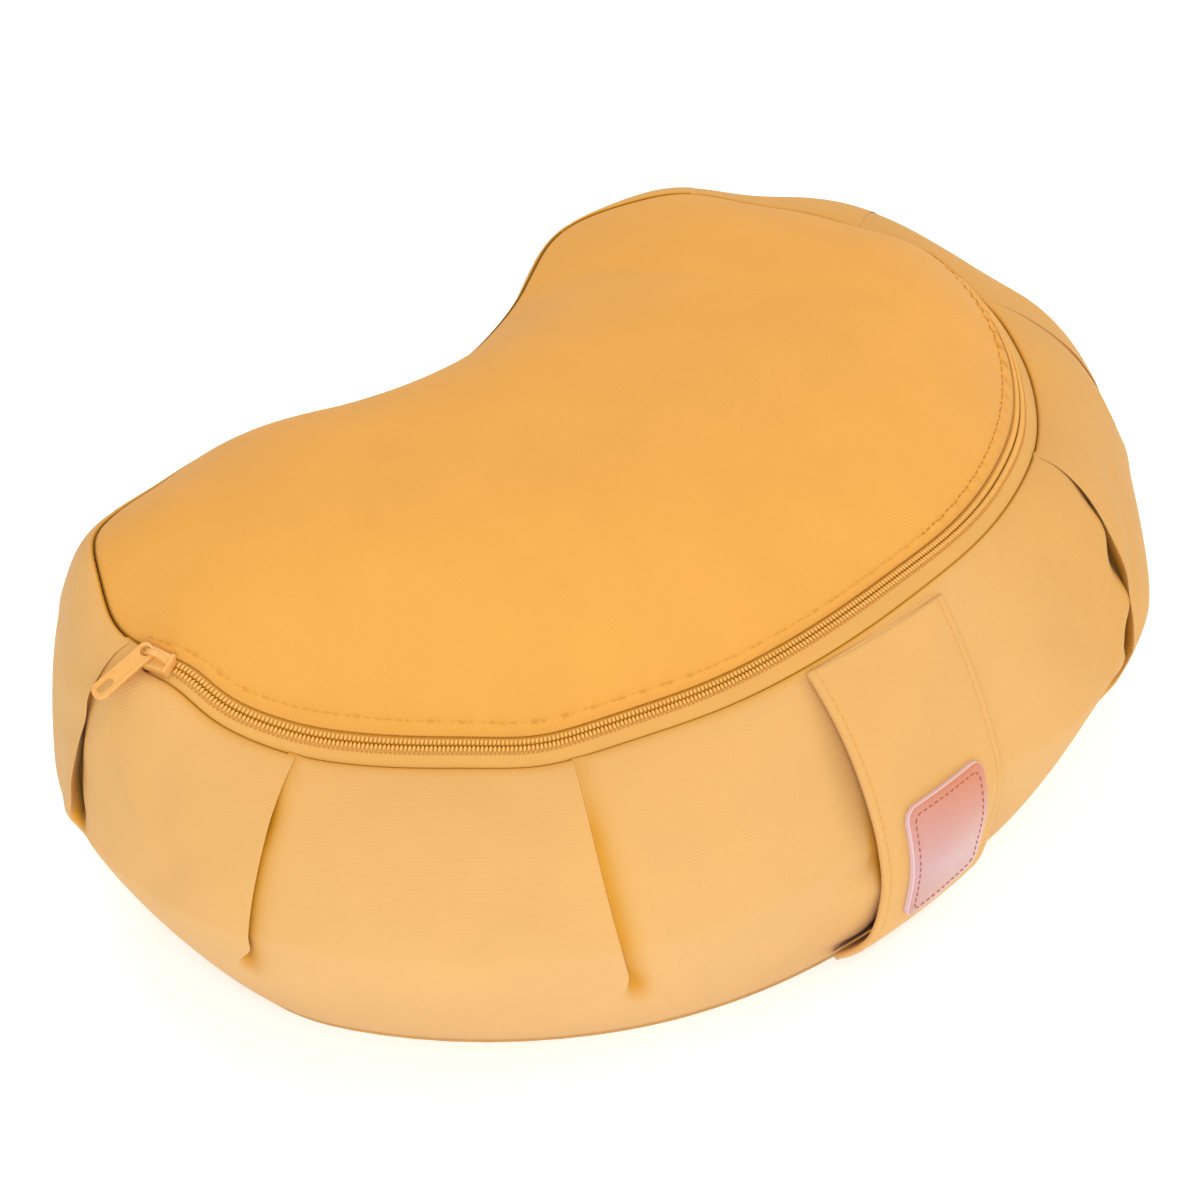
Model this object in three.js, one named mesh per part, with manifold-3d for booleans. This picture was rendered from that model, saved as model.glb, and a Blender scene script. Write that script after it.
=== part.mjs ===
// A crescent meditation cushion: a filled, pleated cloth body with a crowned top panel, a zip round the
// broad front between top and side, a plain bottom panel, and a carrying strap with a small blank patch.
//
// Units are millimetres, +Z is up, and the cushion rests on z = 0 with the middle of its base at the
// origin. The horns point to -X and +X, the notch is at +Y, and the zip and the strap face -Y.
//
// Every seam runs round the same crescent, so a place on the cushion is a "turn": 0 is the middle of
// the front, 90 is about the tip of the +X horn, 180 is the middle of the notch, and 270 is the -X horn.
import * as THREE from 'three';
import Module from 'manifold-3d';
import { mergeVertices } from 'three/addons/utils/BufferGeometryUtils.js';

const wasm = await Module();
wasm.setup();

// ---- The crescent, drawn from three tangent arcs on each side ----
const FRONT_RADIUS = 233;
const FRONT_HALF_ANGLE = THREE.MathUtils.degToRad(53);
const HORN_RADIUS = 116;
const NOTCH_RADIUS = 90;
const FRONT_Y = -137;
const MIDDLE_X = -2;

// ---- Heights and roundness ----
const CROWN = { left: 158, middle: 156, right: 149, roundness: 3, ridgeY: 22 };
const WIDEST_UP = 64;
const LOWER_WALL_ROUNDNESS = 1.2;

// The seams, read at ten even turns round the crescent and joined by a smooth curve.
//   hemIn, hemUp   the folded edge of the top panel: how far in from the outline, and its height
//   bandOut, bandDrop  the zip band: how far out and down its outer seam lies from the hem
//   bulge          how far the filling pushes the side wall past the plain outline
//   footIn         how far in the bottom seam lies
//   shoulder       how full the wall is between its widest line and the seam above (1 is a flat slope)
const SEAMS = [
  { turn: 0, hemIn: 43, hemUp: 124, bandOut: 12, bandDrop: 3, bulge: -3, footIn: 22, shoulder: 1.2 },
  { turn: 36, hemIn: 51, hemUp: 122, bandOut: 10, bandDrop: 4, bulge: 7, footIn: 35, shoulder: 1.5 },
  { turn: 72, hemIn: 42, hemUp: 115, bandOut: 8, bandDrop: 10, bulge: 3, footIn: 36, shoulder: 1.9 },
  { turn: 108, hemIn: 39, hemUp: 122, bandOut: 9, bandDrop: 8, bulge: 8, footIn: 42, shoulder: 1.5 },
  { turn: 144, hemIn: 30, hemUp: 138, bandOut: 12, bandDrop: 5, bulge: 3, footIn: 38, shoulder: 2.3 },
  { turn: 180, hemIn: 24, hemUp: 126, bandOut: 12, bandDrop: 5, bulge: -1, footIn: 36, shoulder: 2.2 },
  { turn: 216, hemIn: 28, hemUp: 131, bandOut: 12, bandDrop: 5, bulge: -10, footIn: 38, shoulder: 2.3 },
  { turn: 252, hemIn: 22, hemUp: 135, bandOut: 8, bandDrop: 3, bulge: -2, footIn: 46, shoulder: 2.2 },
  { turn: 288, hemIn: 46, hemUp: 115, bandOut: 8, bandDrop: 7, bulge: 6, footIn: 35, shoulder: 1.9 },
  { turn: 324, hemIn: 52, hemUp: 115, bandOut: 10, bandDrop: 5, bulge: 9, footIn: 31, shoulder: 1.7 },
];

// Where the real one wanders off that smooth curve: within a reach of so many degrees of a turn, these
// amounts are added. hemIn counts from the bulged outline, so an equal bulge leaves the hem in place.
const SEAM_TRIMS = [
  { turn: 10, reach: 12, hemIn: 0.8, hemUp: 0.9 },
  { turn: 22, reach: 7, hemIn: 2.8, bulge: 2.8 },
  { turn: 42, reach: 9, hemIn: 3.2, bulge: 3.2 },
  { turn: 60, reach: 12, hemIn: 0.3, hemUp: -1.9 },
  { turn: 78, reach: 9, hemIn: 2.2, hemUp: 2.3 },
  { turn: 84, reach: 9, hemIn: 2.5, bulge: 2.5 },
  { turn: 98, reach: 7, hemIn: -0.7, hemUp: 2.1 },
  { turn: 112, reach: 8, hemIn: 0.7, hemUp: -1.2 },
  { turn: 114, reach: 10, shoulder: 1.3 },
  { turn: 126, reach: 8, hemUp: -2.2 },
  { turn: 133, reach: 7, hemIn: 2.5, bulge: 2.5 },
  { turn: 139, reach: 7, hemIn: -1.6, hemUp: 1 },
  { turn: 154, reach: 10, hemIn: -14, hemUp: -4 },
  { turn: 170, reach: 22, shoulder: -1 },
  { turn: 172, reach: 11, hemIn: -9, hemUp: -4 },
  { turn: 213, reach: 15, hemIn: -11, hemUp: -5 },
  { turn: 214, reach: 24, shoulder: -0.9 },
  { turn: 236, reach: 9, hemIn: -5, hemUp: -1 },
  { turn: 244, reach: 7, hemIn: -1.7, hemUp: 2.8 },
  { turn: 257, reach: 6, hemIn: -2.3, hemUp: -2.6 },
  { turn: 269, reach: 5, hemIn: 2, hemUp: 2 },
  { turn: 316, reach: 7, hemIn: -1.5, hemUp: -1.3 },
  { turn: 330, reach: 8, hemIn: 0.9 },
];

// The knife pleats that gather the side wall into the upper seam. Each leaves the seam at one turn and
// runs down to another, dies out at a height, and laps the way of the horns: lap is +1 where the cloth
// on the side of the greater turn lies on top.
const PLEATS = [
  { seam: 47, foot: 30, diesAt: 56, depth: 7, lap: 1 },
  { seam: 88, foot: 72, diesAt: 62, depth: 6, lap: 1 },
  { seam: 112, foot: 108, diesAt: 80, depth: 5, lap: 1 },
  { seam: 132, foot: 131, diesAt: 84, depth: 4, lap: 1 },
  { seam: 154, foot: 154, diesAt: 78, depth: 4, lap: 1 },
  { seam: 206, foot: 206, diesAt: 78, depth: 4, lap: -1 },
  { seam: 232, foot: 231, diesAt: 76, depth: 4, lap: -1 },
  { seam: 260, foot: 260, diesAt: 52, depth: 8, lap: -1 },
  { seam: 287, foot: 284, diesAt: 46, depth: 5, lap: -1 },
  { seam: 321, foot: 325, diesAt: 26, depth: 5, lap: -1 },
];
const PLEAT_SLIP_REACH = 24; // how far from a pleat, in turn, the cloth slants along with it
const PLEAT_LIP_SHARE = 0.3; // the share of a pleat's depth that stands proud; the rest is tucked in
const PLEAT_LIP_FADE = 6;
const PLEAT_TUCK_FADE = 4;
const PLEAT_END_FADE = 14; // the height over which a pleat dies out at its foot and is pressed flat above

// ---- Cloth and clearances ----
const CLOTH = 2.4; // the hemmed top panel and the doubled strap
const THIN_CLOTH = 2; // the bottom panel
const GAP = 0.4;
const HEM_DEPTH = 7; // how far the inner zip tape is tucked under the hem
const HEM_STEP = 2; // the width over which the filling rises past the tape

// ---- The zip ----
const ZIP = { start: 265.2, end: 91, leftClosing: 3.2, rightNarrowing: 5, rightClosing: 7 };
const TAPE = 1.2;
const COIL_START = 267.9; // the coils come out of the slider's tail
const COIL_MIDDLE = 2.8; // from the folded hem to where the two coils meet
const COIL_WIDTH = 2.3;
const COIL_HEIGHT = 1.6;
const COIL_RISE = 0.3; // above the tape
const COIL_PARTING = 0.15; // half the gap between the two halves of the zip
const COIL_SECTION = [
  { across: 0, height: 0 },
  { across: 0, height: 0.75 },
  { across: 0.3, height: 1 },
  { across: 0.72, height: 1 },
  { across: 1, height: 0.5 },
  { across: 1, height: 0 },
];
const SEAM_STEP = 0.6; // the tape lies this much below the side wall's upper edge
const WALL_EDGE = 0.05; // how far in the wall's upper edge leans

// ---- The carrying strap: its inner face at the middle, from the upper seam down to the bottom seam ----
// twist: how far the strap's face leans back towards the +X edge, per millimetre of its width
const STRAP_WIDTH = 62;
const STRAP_PATH = [
  { up: 120.8, forward: 104.1, twist: 0 },
  { up: 116, forward: 109.3, twist: 0.03 },
  { up: 107, forward: 117.3, twist: 0.07 },
  { up: 96, forward: 124.8, twist: 0.095 },
  { up: 83, forward: 131.6, twist: 0.1 },
  { up: 71, forward: 136.6, twist: 0.095 },
  { up: 64, forward: 138.2, twist: 0.09 },
  { up: 57, forward: 138.9, twist: 0.13 },
  { up: 45, forward: 137.1, twist: 0.16 },
  { up: 35, forward: 135.3, twist: 0.155 },
  { up: 26, forward: 131.8, twist: 0.115 },
  { up: 18, forward: 126.4, twist: 0.065 },
  { up: 10, forward: 118.8, twist: 0.035 },
  { up: 5, forward: 115.3, twist: 0.03 },
];
const STRAP_WRAP_RADIUS = 310; // the strap follows the curve of the front across its width

// ---- The blank patch on the strap ----
const PATCH = { width: 39, top: 76.5, bottom: 35, thickness: 1.6, corner: 5, rows: 9, clear: 0.8 };

// ---- The zip slider and its pull ----
const SLIDER = {
  turn: 265.4, // where its middle stands
  across: 4.2, // how far out from the hem its middle line lies
  length: 11,
  shoulderAt: 0.4, // where the straight sides end and the rounded nose starts
  noseWidth: 7.6,
  tailWidth: 6.8,
  thickness: 2.6,
  rise: 1.6, // above the tapes
};
const BRIDGE = { length: 8.6, width: 1.6, leg: 1.4, clear: 2.6, roof: 1, chamfer: 1, rooted: 0.5 };
const PULL = {
  length: 21.5, // from the middle of the eye to the far end
  width: 6.2,
  thickness: 1,
  eye: 3.4,
  rim: 1.1, // the metal round the eye
  neck: 2, // the length over which the eye widens into the tab
  slotLength: 7,
  slotWidth: 2.6,
  slotEnd: 1.4, // the metal past the slot
};
const PULL_FALL = THREE.MathUtils.degToRad(6.5); // how steeply the pull lies down past the slider's plane
const PULL_SWING = THREE.MathUtils.degToRad(21); // how far it points towards the slider's nose

const TURN = 360;
const smoothStep = (low, high, value) => THREE.MathUtils.smoothstep(value, low, high);

// A column of the SEAMS table at any turn, on a Catmull-Rom curve that closes on itself.
function seamValue(column, turn) {
  const step = TURN / SEAMS.length;
  const place = ((turn / step) % SEAMS.length + SEAMS.length) % SEAMS.length;
  const index = Math.floor(place);
  const f = place - index;
  const [a, b, c, d] = [-1, 0, 1, 2].map((k) => SEAMS[(index + k + SEAMS.length) % SEAMS.length][column]);
  const smooth = 0.5 * (2 * b + (c - a) * f + (2 * a - 5 * b + 4 * c - d) * f * f
    + (3 * b - a - 3 * c + d) * f * f * f);
  return smooth + SEAM_TRIMS.reduce((sum, trim) => (
    sum + (trim[column] ?? 0) * Math.exp(-((turnsApart(turn, trim.turn) / trim.reach) ** 2))
  ), 0);
}

// How far one turn lies past another, the short way round.
function turnsApart(turn, other) {
  return ((((turn - other) % TURN) + 1.5 * TURN) % TURN) - TURN / 2;
}

// ---- The crescent outline ----
const frontCentre = new THREE.Vector2(0, FRONT_Y + FRONT_RADIUS);
const hornCentre = new THREE.Vector2(
  (FRONT_RADIUS - HORN_RADIUS) * Math.sin(FRONT_HALF_ANGLE),
  frontCentre.y - (FRONT_RADIUS - HORN_RADIUS) * Math.cos(FRONT_HALF_ANGLE),
);
const notchHalfAngle = Math.asin(hornCentre.x / (NOTCH_RADIUS + HORN_RADIUS));
const notchCentreY = hornCentre.y + (NOTCH_RADIUS + HORN_RADIUS) * Math.cos(notchHalfAngle);
const frontLength = FRONT_RADIUS * FRONT_HALF_ANGLE;
const hornLength = HORN_RADIUS * (Math.PI + notchHalfAngle - FRONT_HALF_ANGLE);
const halfLength = frontLength + hornLength + NOTCH_RADIUS * notchHalfAngle;

// The plain outline at a turn: a point, the direction into the cushion, and how far along the
// crown's ridge the cloth above it leads, from -1 at one horn to 1 at the other.
function outline(turn) {
  const wrapped = ((turn % TURN) + TURN) % TURN;
  const side = wrapped <= TURN / 2 ? 1 : -1;
  const run = (Math.min(wrapped, TURN - wrapped) / (TURN / 2)) * halfLength;
  let x;
  let y;
  let angle;
  let along = 1;
  let into = -1;
  if (run < frontLength) {
    angle = run / FRONT_RADIUS;
    x = FRONT_RADIUS * Math.sin(angle);
    y = frontCentre.y - FRONT_RADIUS * Math.cos(angle);
    along = angle / FRONT_HALF_ANGLE;
  } else if (run < frontLength + hornLength) {
    angle = FRONT_HALF_ANGLE + (run - frontLength) / HORN_RADIUS;
    x = hornCentre.x + HORN_RADIUS * Math.sin(angle);
    y = hornCentre.y - HORN_RADIUS * Math.cos(angle);
  } else {
    angle = (halfLength - run) / NOTCH_RADIUS;
    x = NOTCH_RADIUS * Math.sin(angle);
    y = notchCentreY - NOTCH_RADIUS * Math.cos(angle);
    along = angle / notchHalfAngle;
    into = 1;
  }
  const inward = new THREE.Vector2(into * Math.sin(angle) * side, -into * Math.cos(angle));
  return { point: new THREE.Vector2(x * side + MIDDLE_X, y), inward, along: along * side };
}

// A point at a turn, a distance in from the bulged outline, at a height.
function seamPoint(turn, distanceIn, up) {
  const { point, inward } = outline(turn);
  const flat = point.clone().addScaledVector(inward, distanceIn - seamValue('bulge', turn));
  return new THREE.Vector3(flat.x, flat.y, up);
}

// How open the zip band is at a turn: 1 along the zip, 0 where top and side meet in a plain seam.
function bandOpen(turn) {
  const signed = turn > TURN / 2 ? turn - TURN : turn;
  const start = ZIP.start - TURN;
  return smoothStep(start - ZIP.leftClosing, start, signed)
    * (1 - smoothStep(ZIP.end - ZIP.rightNarrowing, ZIP.end + ZIP.rightClosing, signed));
}

// Whether there is room for the tapes under the hem: 1 along the zip, 0 a little past its ends.
function tapeRoom(turn) {
  const signed = turn > TURN / 2 ? turn - TURN : turn;
  const start = ZIP.start - TURN;
  return smoothStep(start - ZIP.leftClosing, start, signed)
    * (1 - smoothStep(ZIP.end, ZIP.end + ZIP.rightClosing, signed));
}

const hemEdge = (turn) => seamPoint(turn, seamValue('hemIn', turn), seamValue('hemUp', turn));

// The upper edge of the side wall. Where the zip band is closed it lies a gap outside the hem.
function wallTop(turn) {
  const open = bandOpen(turn);
  const out = Math.max(seamValue('bandOut', turn) * open, GAP);
  const up = seamValue('hemUp', turn) - seamValue('bandDrop', turn) * open;
  return seamPoint(turn, seamValue('hemIn', turn) - out, up);
}

// The ridge of the crown, and the domed top between the hem (share 0) and the ridge (share 1).
function ridgePoint(along) {
  const x = hornCentre.x * along + MIDDLE_X;
  const y = CROWN.ridgeY + (hornCentre.y - CROWN.ridgeY) * along * along;
  const tilt = (CROWN.right - CROWN.left) / 2;
  const bend = (CROWN.right + CROWN.left) / 2 - CROWN.middle;
  return new THREE.Vector3(x, y, CROWN.middle + tilt * along + bend * along * along);
}

function crownPoint(turn, share, sink) {
  const hem = hemEdge(turn);
  const ridge = ridgePoint(outline(turn).along);
  const up = hem.z + (ridge.z - hem.z) * (1 - (1 - share) ** CROWN.roundness);
  return hem.clone().lerp(ridge, share).setZ(up - sink);
}

function crownPointAt(turn, distance, sink) {
  const ridge = ridgePoint(outline(turn).along);
  const hem = hemEdge(turn);
  const reach = Math.hypot(ridge.x - hem.x, ridge.y - hem.y);
  return crownPoint(turn, distance / reach, sink);
}

// A point on the zip band, some way down its slope from the hem; its surface is the tapes' upper face.
const bandWidth = (turn) => hemEdge(turn).distanceTo(wallTop(turn));

function bandPoint(turn, across, sink) {
  const hem = hemEdge(turn);
  const seam = wallTop(turn);
  const share = across / bandWidth(turn);
  const hemSink = CLOTH + GAP;
  const lowered = hemSink + (SEAM_STEP - hemSink) * share;
  const point = hem.clone().lerp(seam, share);
  return point.setZ(point.z - lowered - sink);
}

// ---- The side wall ----
// The turn that a column of cloth has slipped to by the time it is this share of the way down.
function slippedTurn(turn, down) {
  let slipped = turn;
  for (const pleat of PLEATS) {
    const near = 1 - Math.abs(turn - pleat.seam) / PLEAT_SLIP_REACH;
    slipped += (pleat.foot - pleat.seam) * Math.max(0, near) * down;
  }
  return slipped;
}

// How far the pleats push the cloth in (positive) or out (negative) at a column and height.
function pleatDepth(turn, up, seamUp) {
  let inward = 0;
  for (const pleat of PLEATS) {
    const from = (turn - pleat.seam) * pleat.lap;
    const fadeDown = smoothStep(pleat.diesAt, pleat.diesAt + PLEAT_END_FADE, up);
    const fadeUp = 1 - smoothStep(seamUp - PLEAT_END_FADE, seamUp, up);
    const depth = pleat.depth * fadeDown * fadeUp;
    const lip = -PLEAT_LIP_SHARE * Math.exp(-from / PLEAT_LIP_FADE);
    const tuck = (1 - PLEAT_LIP_SHARE) * Math.exp(from / PLEAT_TUCK_FADE);
    inward += depth * (from >= 0 ? lip : tuck);
  }
  return inward;
}

// A column of the side wall at a height, in the same superellipse above and below its widest line.
function wallPoint(column, up, base) {
  const top = wallTop(column);
  const turn = slippedTurn(column, (top.z - up) / (top.z - base));
  const upper = up > WIDEST_UP;
  const power = upper ? seamValue('shoulder', turn) : LOWER_WALL_ROUNDNESS;
  const height = upper ? (up - WIDEST_UP) / (top.z - WIDEST_UP) : (WIDEST_UP - up) / (WIDEST_UP - base);
  const open = bandOpen(turn);
  const seamIn = seamValue('hemIn', turn) - Math.max(seamValue('bandOut', turn) * open, GAP);
  const edgeIn = upper ? seamIn : seamValue('footIn', turn);
  const inward = edgeIn * (1 - (1 - Math.min(height, 1) ** power) ** (1 / power));
  return seamPoint(turn, inward + pleatDepth(column, up, top.z), up);
}

// ---- The columns of cloth: a few close together at each pleat, at the zip's ends, and evenly between
const PLEAT_COLUMNS = [-2.4, -0.3, 0.3, 2.4];
const WIDEST_COLUMN = 6.6;
function clothColumns() {
  const fixed = PLEATS.flatMap((pleat) => PLEAT_COLUMNS.map((offset) => pleat.seam + offset));
  fixed.push(0, ZIP.start, COIL_START, ZIP.end, ZIP.end + ZIP.rightClosing, ZIP.start - ZIP.leftClosing);
  fixed.sort((a, b) => a - b);
  const spaced = [];
  fixed.forEach((turn, k) => {
    const next = k + 1 < fixed.length ? fixed[k + 1] : TURN;
    const parts = Math.ceil((next - turn) / WIDEST_COLUMN);
    for (let j = 0; j < parts; j += 1) spaced.push(turn + ((next - turn) * j) / parts);
  });
  return spaced;
}
const COLUMNS = clothColumns();
const columnsFrom = (start) => [
  ...COLUMNS.filter((turn) => turn >= start),
  ...COLUMNS.filter((turn) => turn <= ZIP.end),
];

// ---- Closed solids from a stack of rings, each four-sided patch split along its shorter diagonal ----
function capTriangles(ring, offset) {
  const normal = new THREE.Vector3();
  ring.forEach((p, k) => {
    const q = ring[(k + 1) % ring.length];
    normal.x += (p.y - q.y) * (p.z + q.z);
    normal.y += (p.z - q.z) * (p.x + q.x);
    normal.z += (p.x - q.x) * (p.y + q.y);
  });
  const turnFlat = new THREE.Quaternion().setFromUnitVectors(normal.normalize(), new THREE.Vector3(0, 0, 1));
  const flat = ring.map((p) => p.clone().applyQuaternion(turnFlat)).map((p) => new THREE.Vector2(p.x, p.y));
  return THREE.ShapeUtils.triangulateShape(flat, []).map((face) => face.map((k) => k + offset));
}

function signedVolume(points, faces) {
  const volume = faces.map(([a, b, c]) => points[a].dot(points[b].clone().cross(points[c])));
  return volume.reduce((sum, part) => sum + part, 0);
}

function solidFromRings(rings) {
  const count = rings[0].length;
  const points = rings.flat();
  const last = (rings.length - 1) * count;
  const faces = capTriangles(rings[0], 0).map(([a, b, c]) => [a, c, b]);
  faces.push(...capTriangles(rings[rings.length - 1], last));
  for (let row = 0; row + 1 < rings.length; row += 1) {
    for (let k = 0; k < count; k += 1) {
      const a = row * count + k;
      const b = row * count + ((k + 1) % count);
      const [c, d] = [b + count, a + count];
      const splitAC = points[a].distanceTo(points[c]) < points[b].distanceTo(points[d]);
      if (splitAC) faces.push([a, b, c], [a, c, d]);
      else faces.push([a, b, d], [b, c, d]);
    }
  }
  if (signedVolume(points, faces) < 0) faces.forEach((face) => face.reverse());
  const geometry = new THREE.BufferGeometry().setFromPoints(points);
  geometry.setIndex(faces.flat());
  geometry.computeVertexNormals();
  return geometry;
}

// ---- The pieces ----
const CROWN_SHARES = [0.25, 0.45, 0.65, 0.84];
const WALL_HEIGHTS = [0, 0.13, 0.27, 0.4, 0.5, 0.62, 0.74, 0.85, 0.94, 1];

const ring = (at) => COLUMNS.map(at);

// The filled body: the pleated side wall, with a ledge that the zip tapes lie on and a crown that the
// top panel lies on.
function bodyGeometry() {
  const base = THIN_CLOTH + GAP;
  const rings = [];
  const floorPoint = (turn, share) => {
    const foot = wallPoint(turn, base, base);
    return foot.lerp(ridgePoint(outline(turn).along).setZ(base), share);
  };
  rings.push(ring((turn) => floorPoint(turn, 1 / 2)));
  for (const share of WALL_HEIGHTS) {
    rings.push(ring((turn) => wallPoint(turn, base + (wallTop(turn).z - base) * share, base)));
  }
  const panelSink = CLOTH + GAP;
  const ledgeSink = (turn) => (TAPE + GAP) * tapeRoom(turn);
  const seamSink = (turn) => ledgeSink(turn) + (panelSink - SEAM_STEP) * (1 - tapeRoom(turn));
  rings.push(ring((turn) => bandPoint(turn, bandWidth(turn) - WALL_EDGE, seamSink(turn))));
  rings.push(ring((turn) => crownPointAt(turn, 0, panelSink + ledgeSink(turn))));
  rings.push(ring((turn) => crownPointAt(turn, HEM_DEPTH, panelSink + ledgeSink(turn))));
  rings.push(ring((turn) => crownPointAt(turn, HEM_DEPTH + HEM_STEP, panelSink)));
  for (const share of CROWN_SHARES) rings.push(ring((turn) => crownPoint(turn, share, panelSink)));
  return solidFromRings(rings);
}

// The top panel: one crowned crescent of cloth whose hem is turned under along its edge.
function topPanelGeometry() {
  const faces = (sink) => [
    ring((turn) => crownPointAt(turn, 0, sink)),
    ring((turn) => crownPointAt(turn, HEM_DEPTH, sink)),
    ring((turn) => crownPointAt(turn, HEM_DEPTH + HEM_STEP, sink)),
    ...CROWN_SHARES.map((share) => ring((turn) => crownPoint(turn, share, sink))),
  ];
  return solidFromRings([...faces(CLOTH).reverse(), ...faces(0)]);
}

// The bottom panel: a flat crescent of cloth that meets the floor.
function bottomPanelGeometry() {
  const base = THIN_CLOTH + GAP;
  const edge = (up) => ring((turn) => wallPoint(turn, base, base).setZ(up));
  return solidFromRings([edge(0), edge(THIN_CLOTH)]);
}

// A strip along the zip, from one distance out from the hem to another; its section is a list of
// [across, height above the tape's upper face] corners.
function zipStrip(start, section) {
  return solidFromRings(columnsFrom(start).map((turn) => section(turn).map(([across, height]) => (
    across < 0 ? crownPointAt(turn, -across, CLOTH + GAP - height) : bandPoint(turn, across, -height)
  ))));
}

const tapeSection = (inner, outer) => {
  const middle = Math.max(inner, 0);
  const upper = inner < 0 ? [inner, middle, outer] : [inner, outer];
  return [...upper.map((across) => [across, 0]), ...upper.reverse().map((across) => [across, -TAPE])];
};

const innerTapeGeometry = () => zipStrip(ZIP.start, () => (
  tapeSection(GAP - HEM_DEPTH, COIL_MIDDLE - COIL_PARTING)
));
const outerTapeGeometry = () => zipStrip(ZIP.start, (turn) => (
  tapeSection(COIL_MIDDLE + COIL_PARTING, bandWidth(turn) - GAP)
));

// One row of the nylon coil, domed across, on one side of the parting.
function coilGeometry(side) {
  return zipStrip(COIL_START, () => COIL_SECTION.map(({ across, height }) => [
    COIL_MIDDLE + side * (COIL_PARTING + COIL_WIDTH * across),
    COIL_RISE + COIL_HEIGHT * height,
  ]));
}

// The strap: a doubled band sewn into the upper and the lower seam, lying on the upper part of the
// wall and standing off below it, so that a hand can pass behind.
function strapPoint(x, up, out) {
  const { upper, lower, share } = strapRow(up);
  const forward = upper.forward + (lower.forward - upper.forward) * share;
  const twist = upper.twist + (lower.twist - upper.twist) * share;
  const rise = upper.up - lower.up;
  const run = lower.forward - upper.forward;
  const length = Math.hypot(rise, run);
  const y = -forward + (x * x) / (2 * STRAP_WRAP_RADIUS) + x * twist;
  return new THREE.Vector3(x + MIDDLE_X, y - (out * rise) / length, up + (out * run) / length);
}

// The two rows of the strap's path that a height lies between, and its share of the way down.
function strapRow(up) {
  const last = STRAP_PATH.length - 1;
  const found = STRAP_PATH.findIndex((row) => row.up <= up);
  const k = Math.min(Math.max(1, found === -1 ? last : found), last);
  const [upper, lower] = [STRAP_PATH[k - 1], STRAP_PATH[k]];
  return { upper, lower, share: (upper.up - up) / (upper.up - lower.up) };
}

const STRAP_ACROSS = [-1, -0.5, 0, 0.5, 1];

function strapGeometry() {
  return solidFromRings(STRAP_PATH.map(({ up }) => {
    const at = (share, out) => strapPoint((share * STRAP_WIDTH) / 2, up, out);
    const inner = STRAP_ACROSS.map((share) => at(share, 0));
    const outer = [...STRAP_ACROSS].reverse().map((share) => at(share, CLOTH));
    return [...inner, ...outer];
  }));
}

// The patch: a small rounded rectangle on the front of the strap, with nothing on it.
function patchGeometry() {
  const rows = Array.from({ length: PATCH.rows }, (_, k) => k / (PATCH.rows - 1));
  return solidFromRings(rows.map((share) => {
    const up = PATCH.top + (PATCH.bottom - PATCH.top) * share;
    const fromEnd = Math.min(share, 1 - share) * (PATCH.top - PATCH.bottom);
    const cut = Math.max(0, PATCH.corner - fromEnd);
    const rounded = Math.sqrt(PATCH.corner ** 2 - cut ** 2);
    const half = Math.max(PATCH.width / 2 - PATCH.corner + rounded, PATCH.width / 2 - PATCH.corner + 1);
    const at = (side, out) => strapPoint(side * half, up, out);
    const across = [-1, -1 / 3, 1 / 3, 1];
    const inner = across.map((side) => at(side, CLOTH + PATCH.clear));
    const outer = across.map((side) => at(-side, CLOTH + PATCH.clear + PATCH.thickness));
    return [...inner, ...outer];
  }));
}

// ---- Booleans ----
function toManifold(geometry) {
  const bare = geometry.clone();
  bare.deleteAttribute('normal');
  bare.deleteAttribute('uv');
  const merged = mergeVertices(bare, 1e-3);
  const vertProperties = new Float32Array(merged.attributes.position.array);
  const triVerts = new Uint32Array(merged.index.array);
  return new wasm.Manifold(new wasm.Mesh({ numProp: 3, vertProperties, triVerts }));
}

function fromManifold(solid) {
  const mesh = solid.getMesh();
  const geometry = new THREE.BufferGeometry();
  geometry.setAttribute('position', new THREE.BufferAttribute(new Float32Array(mesh.vertProperties), 3));
  geometry.setIndex(new THREE.BufferAttribute(new Uint32Array(mesh.triVerts), 1));
  geometry.computeVertexNormals();
  return geometry;
}

// ---- The slider: a wedge-shaped plate with an arched bridge over it, modelled flat with +X towards
// its nose and +Z up, and its pull, modelled with the middle of the eye at the origin and +X outwards
function plate(shape, thickness) {
  return new THREE.ExtrudeGeometry(shape, { depth: thickness, bevelEnabled: false, curveSegments: 6 });
}

function sliderGeometry() {
  const half = SLIDER.length / 2;
  const [tail, nose] = [SLIDER.tailWidth / 2, SLIDER.noseWidth / 2];
  const shape = new THREE.Shape();
  shape.moveTo(-half, -tail);
  shape.lineTo(SLIDER.shoulderAt, -nose);
  shape.quadraticCurveTo(half, -nose, half, 0);
  shape.quadraticCurveTo(half, nose, SLIDER.shoulderAt, nose);
  shape.lineTo(-half, tail);
  const body = toManifold(plate(shape, SLIDER.thickness));

  const reach = BRIDGE.length / 2;
  const top = BRIDGE.clear + BRIDGE.roof;
  const arch = new THREE.Shape();
  const foot = -BRIDGE.rooted;
  arch.moveTo(-reach, foot);
  arch.lineTo(-reach, top - BRIDGE.chamfer);
  arch.lineTo(-reach + BRIDGE.chamfer, top);
  arch.lineTo(reach - BRIDGE.chamfer, top);
  arch.lineTo(reach, top - BRIDGE.chamfer);
  arch.lineTo(reach, foot);
  arch.lineTo(reach - BRIDGE.leg, foot);
  arch.lineTo(reach - BRIDGE.leg, BRIDGE.clear);
  arch.lineTo(-reach + BRIDGE.leg, BRIDGE.clear);
  arch.lineTo(-reach + BRIDGE.leg, foot);
  const bridge = plate(arch, BRIDGE.width);
  bridge.rotateX(Math.PI / 2);
  bridge.translate(0, BRIDGE.width / 2, SLIDER.thickness);
  return fromManifold(body.add(toManifold(bridge)));
}

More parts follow.
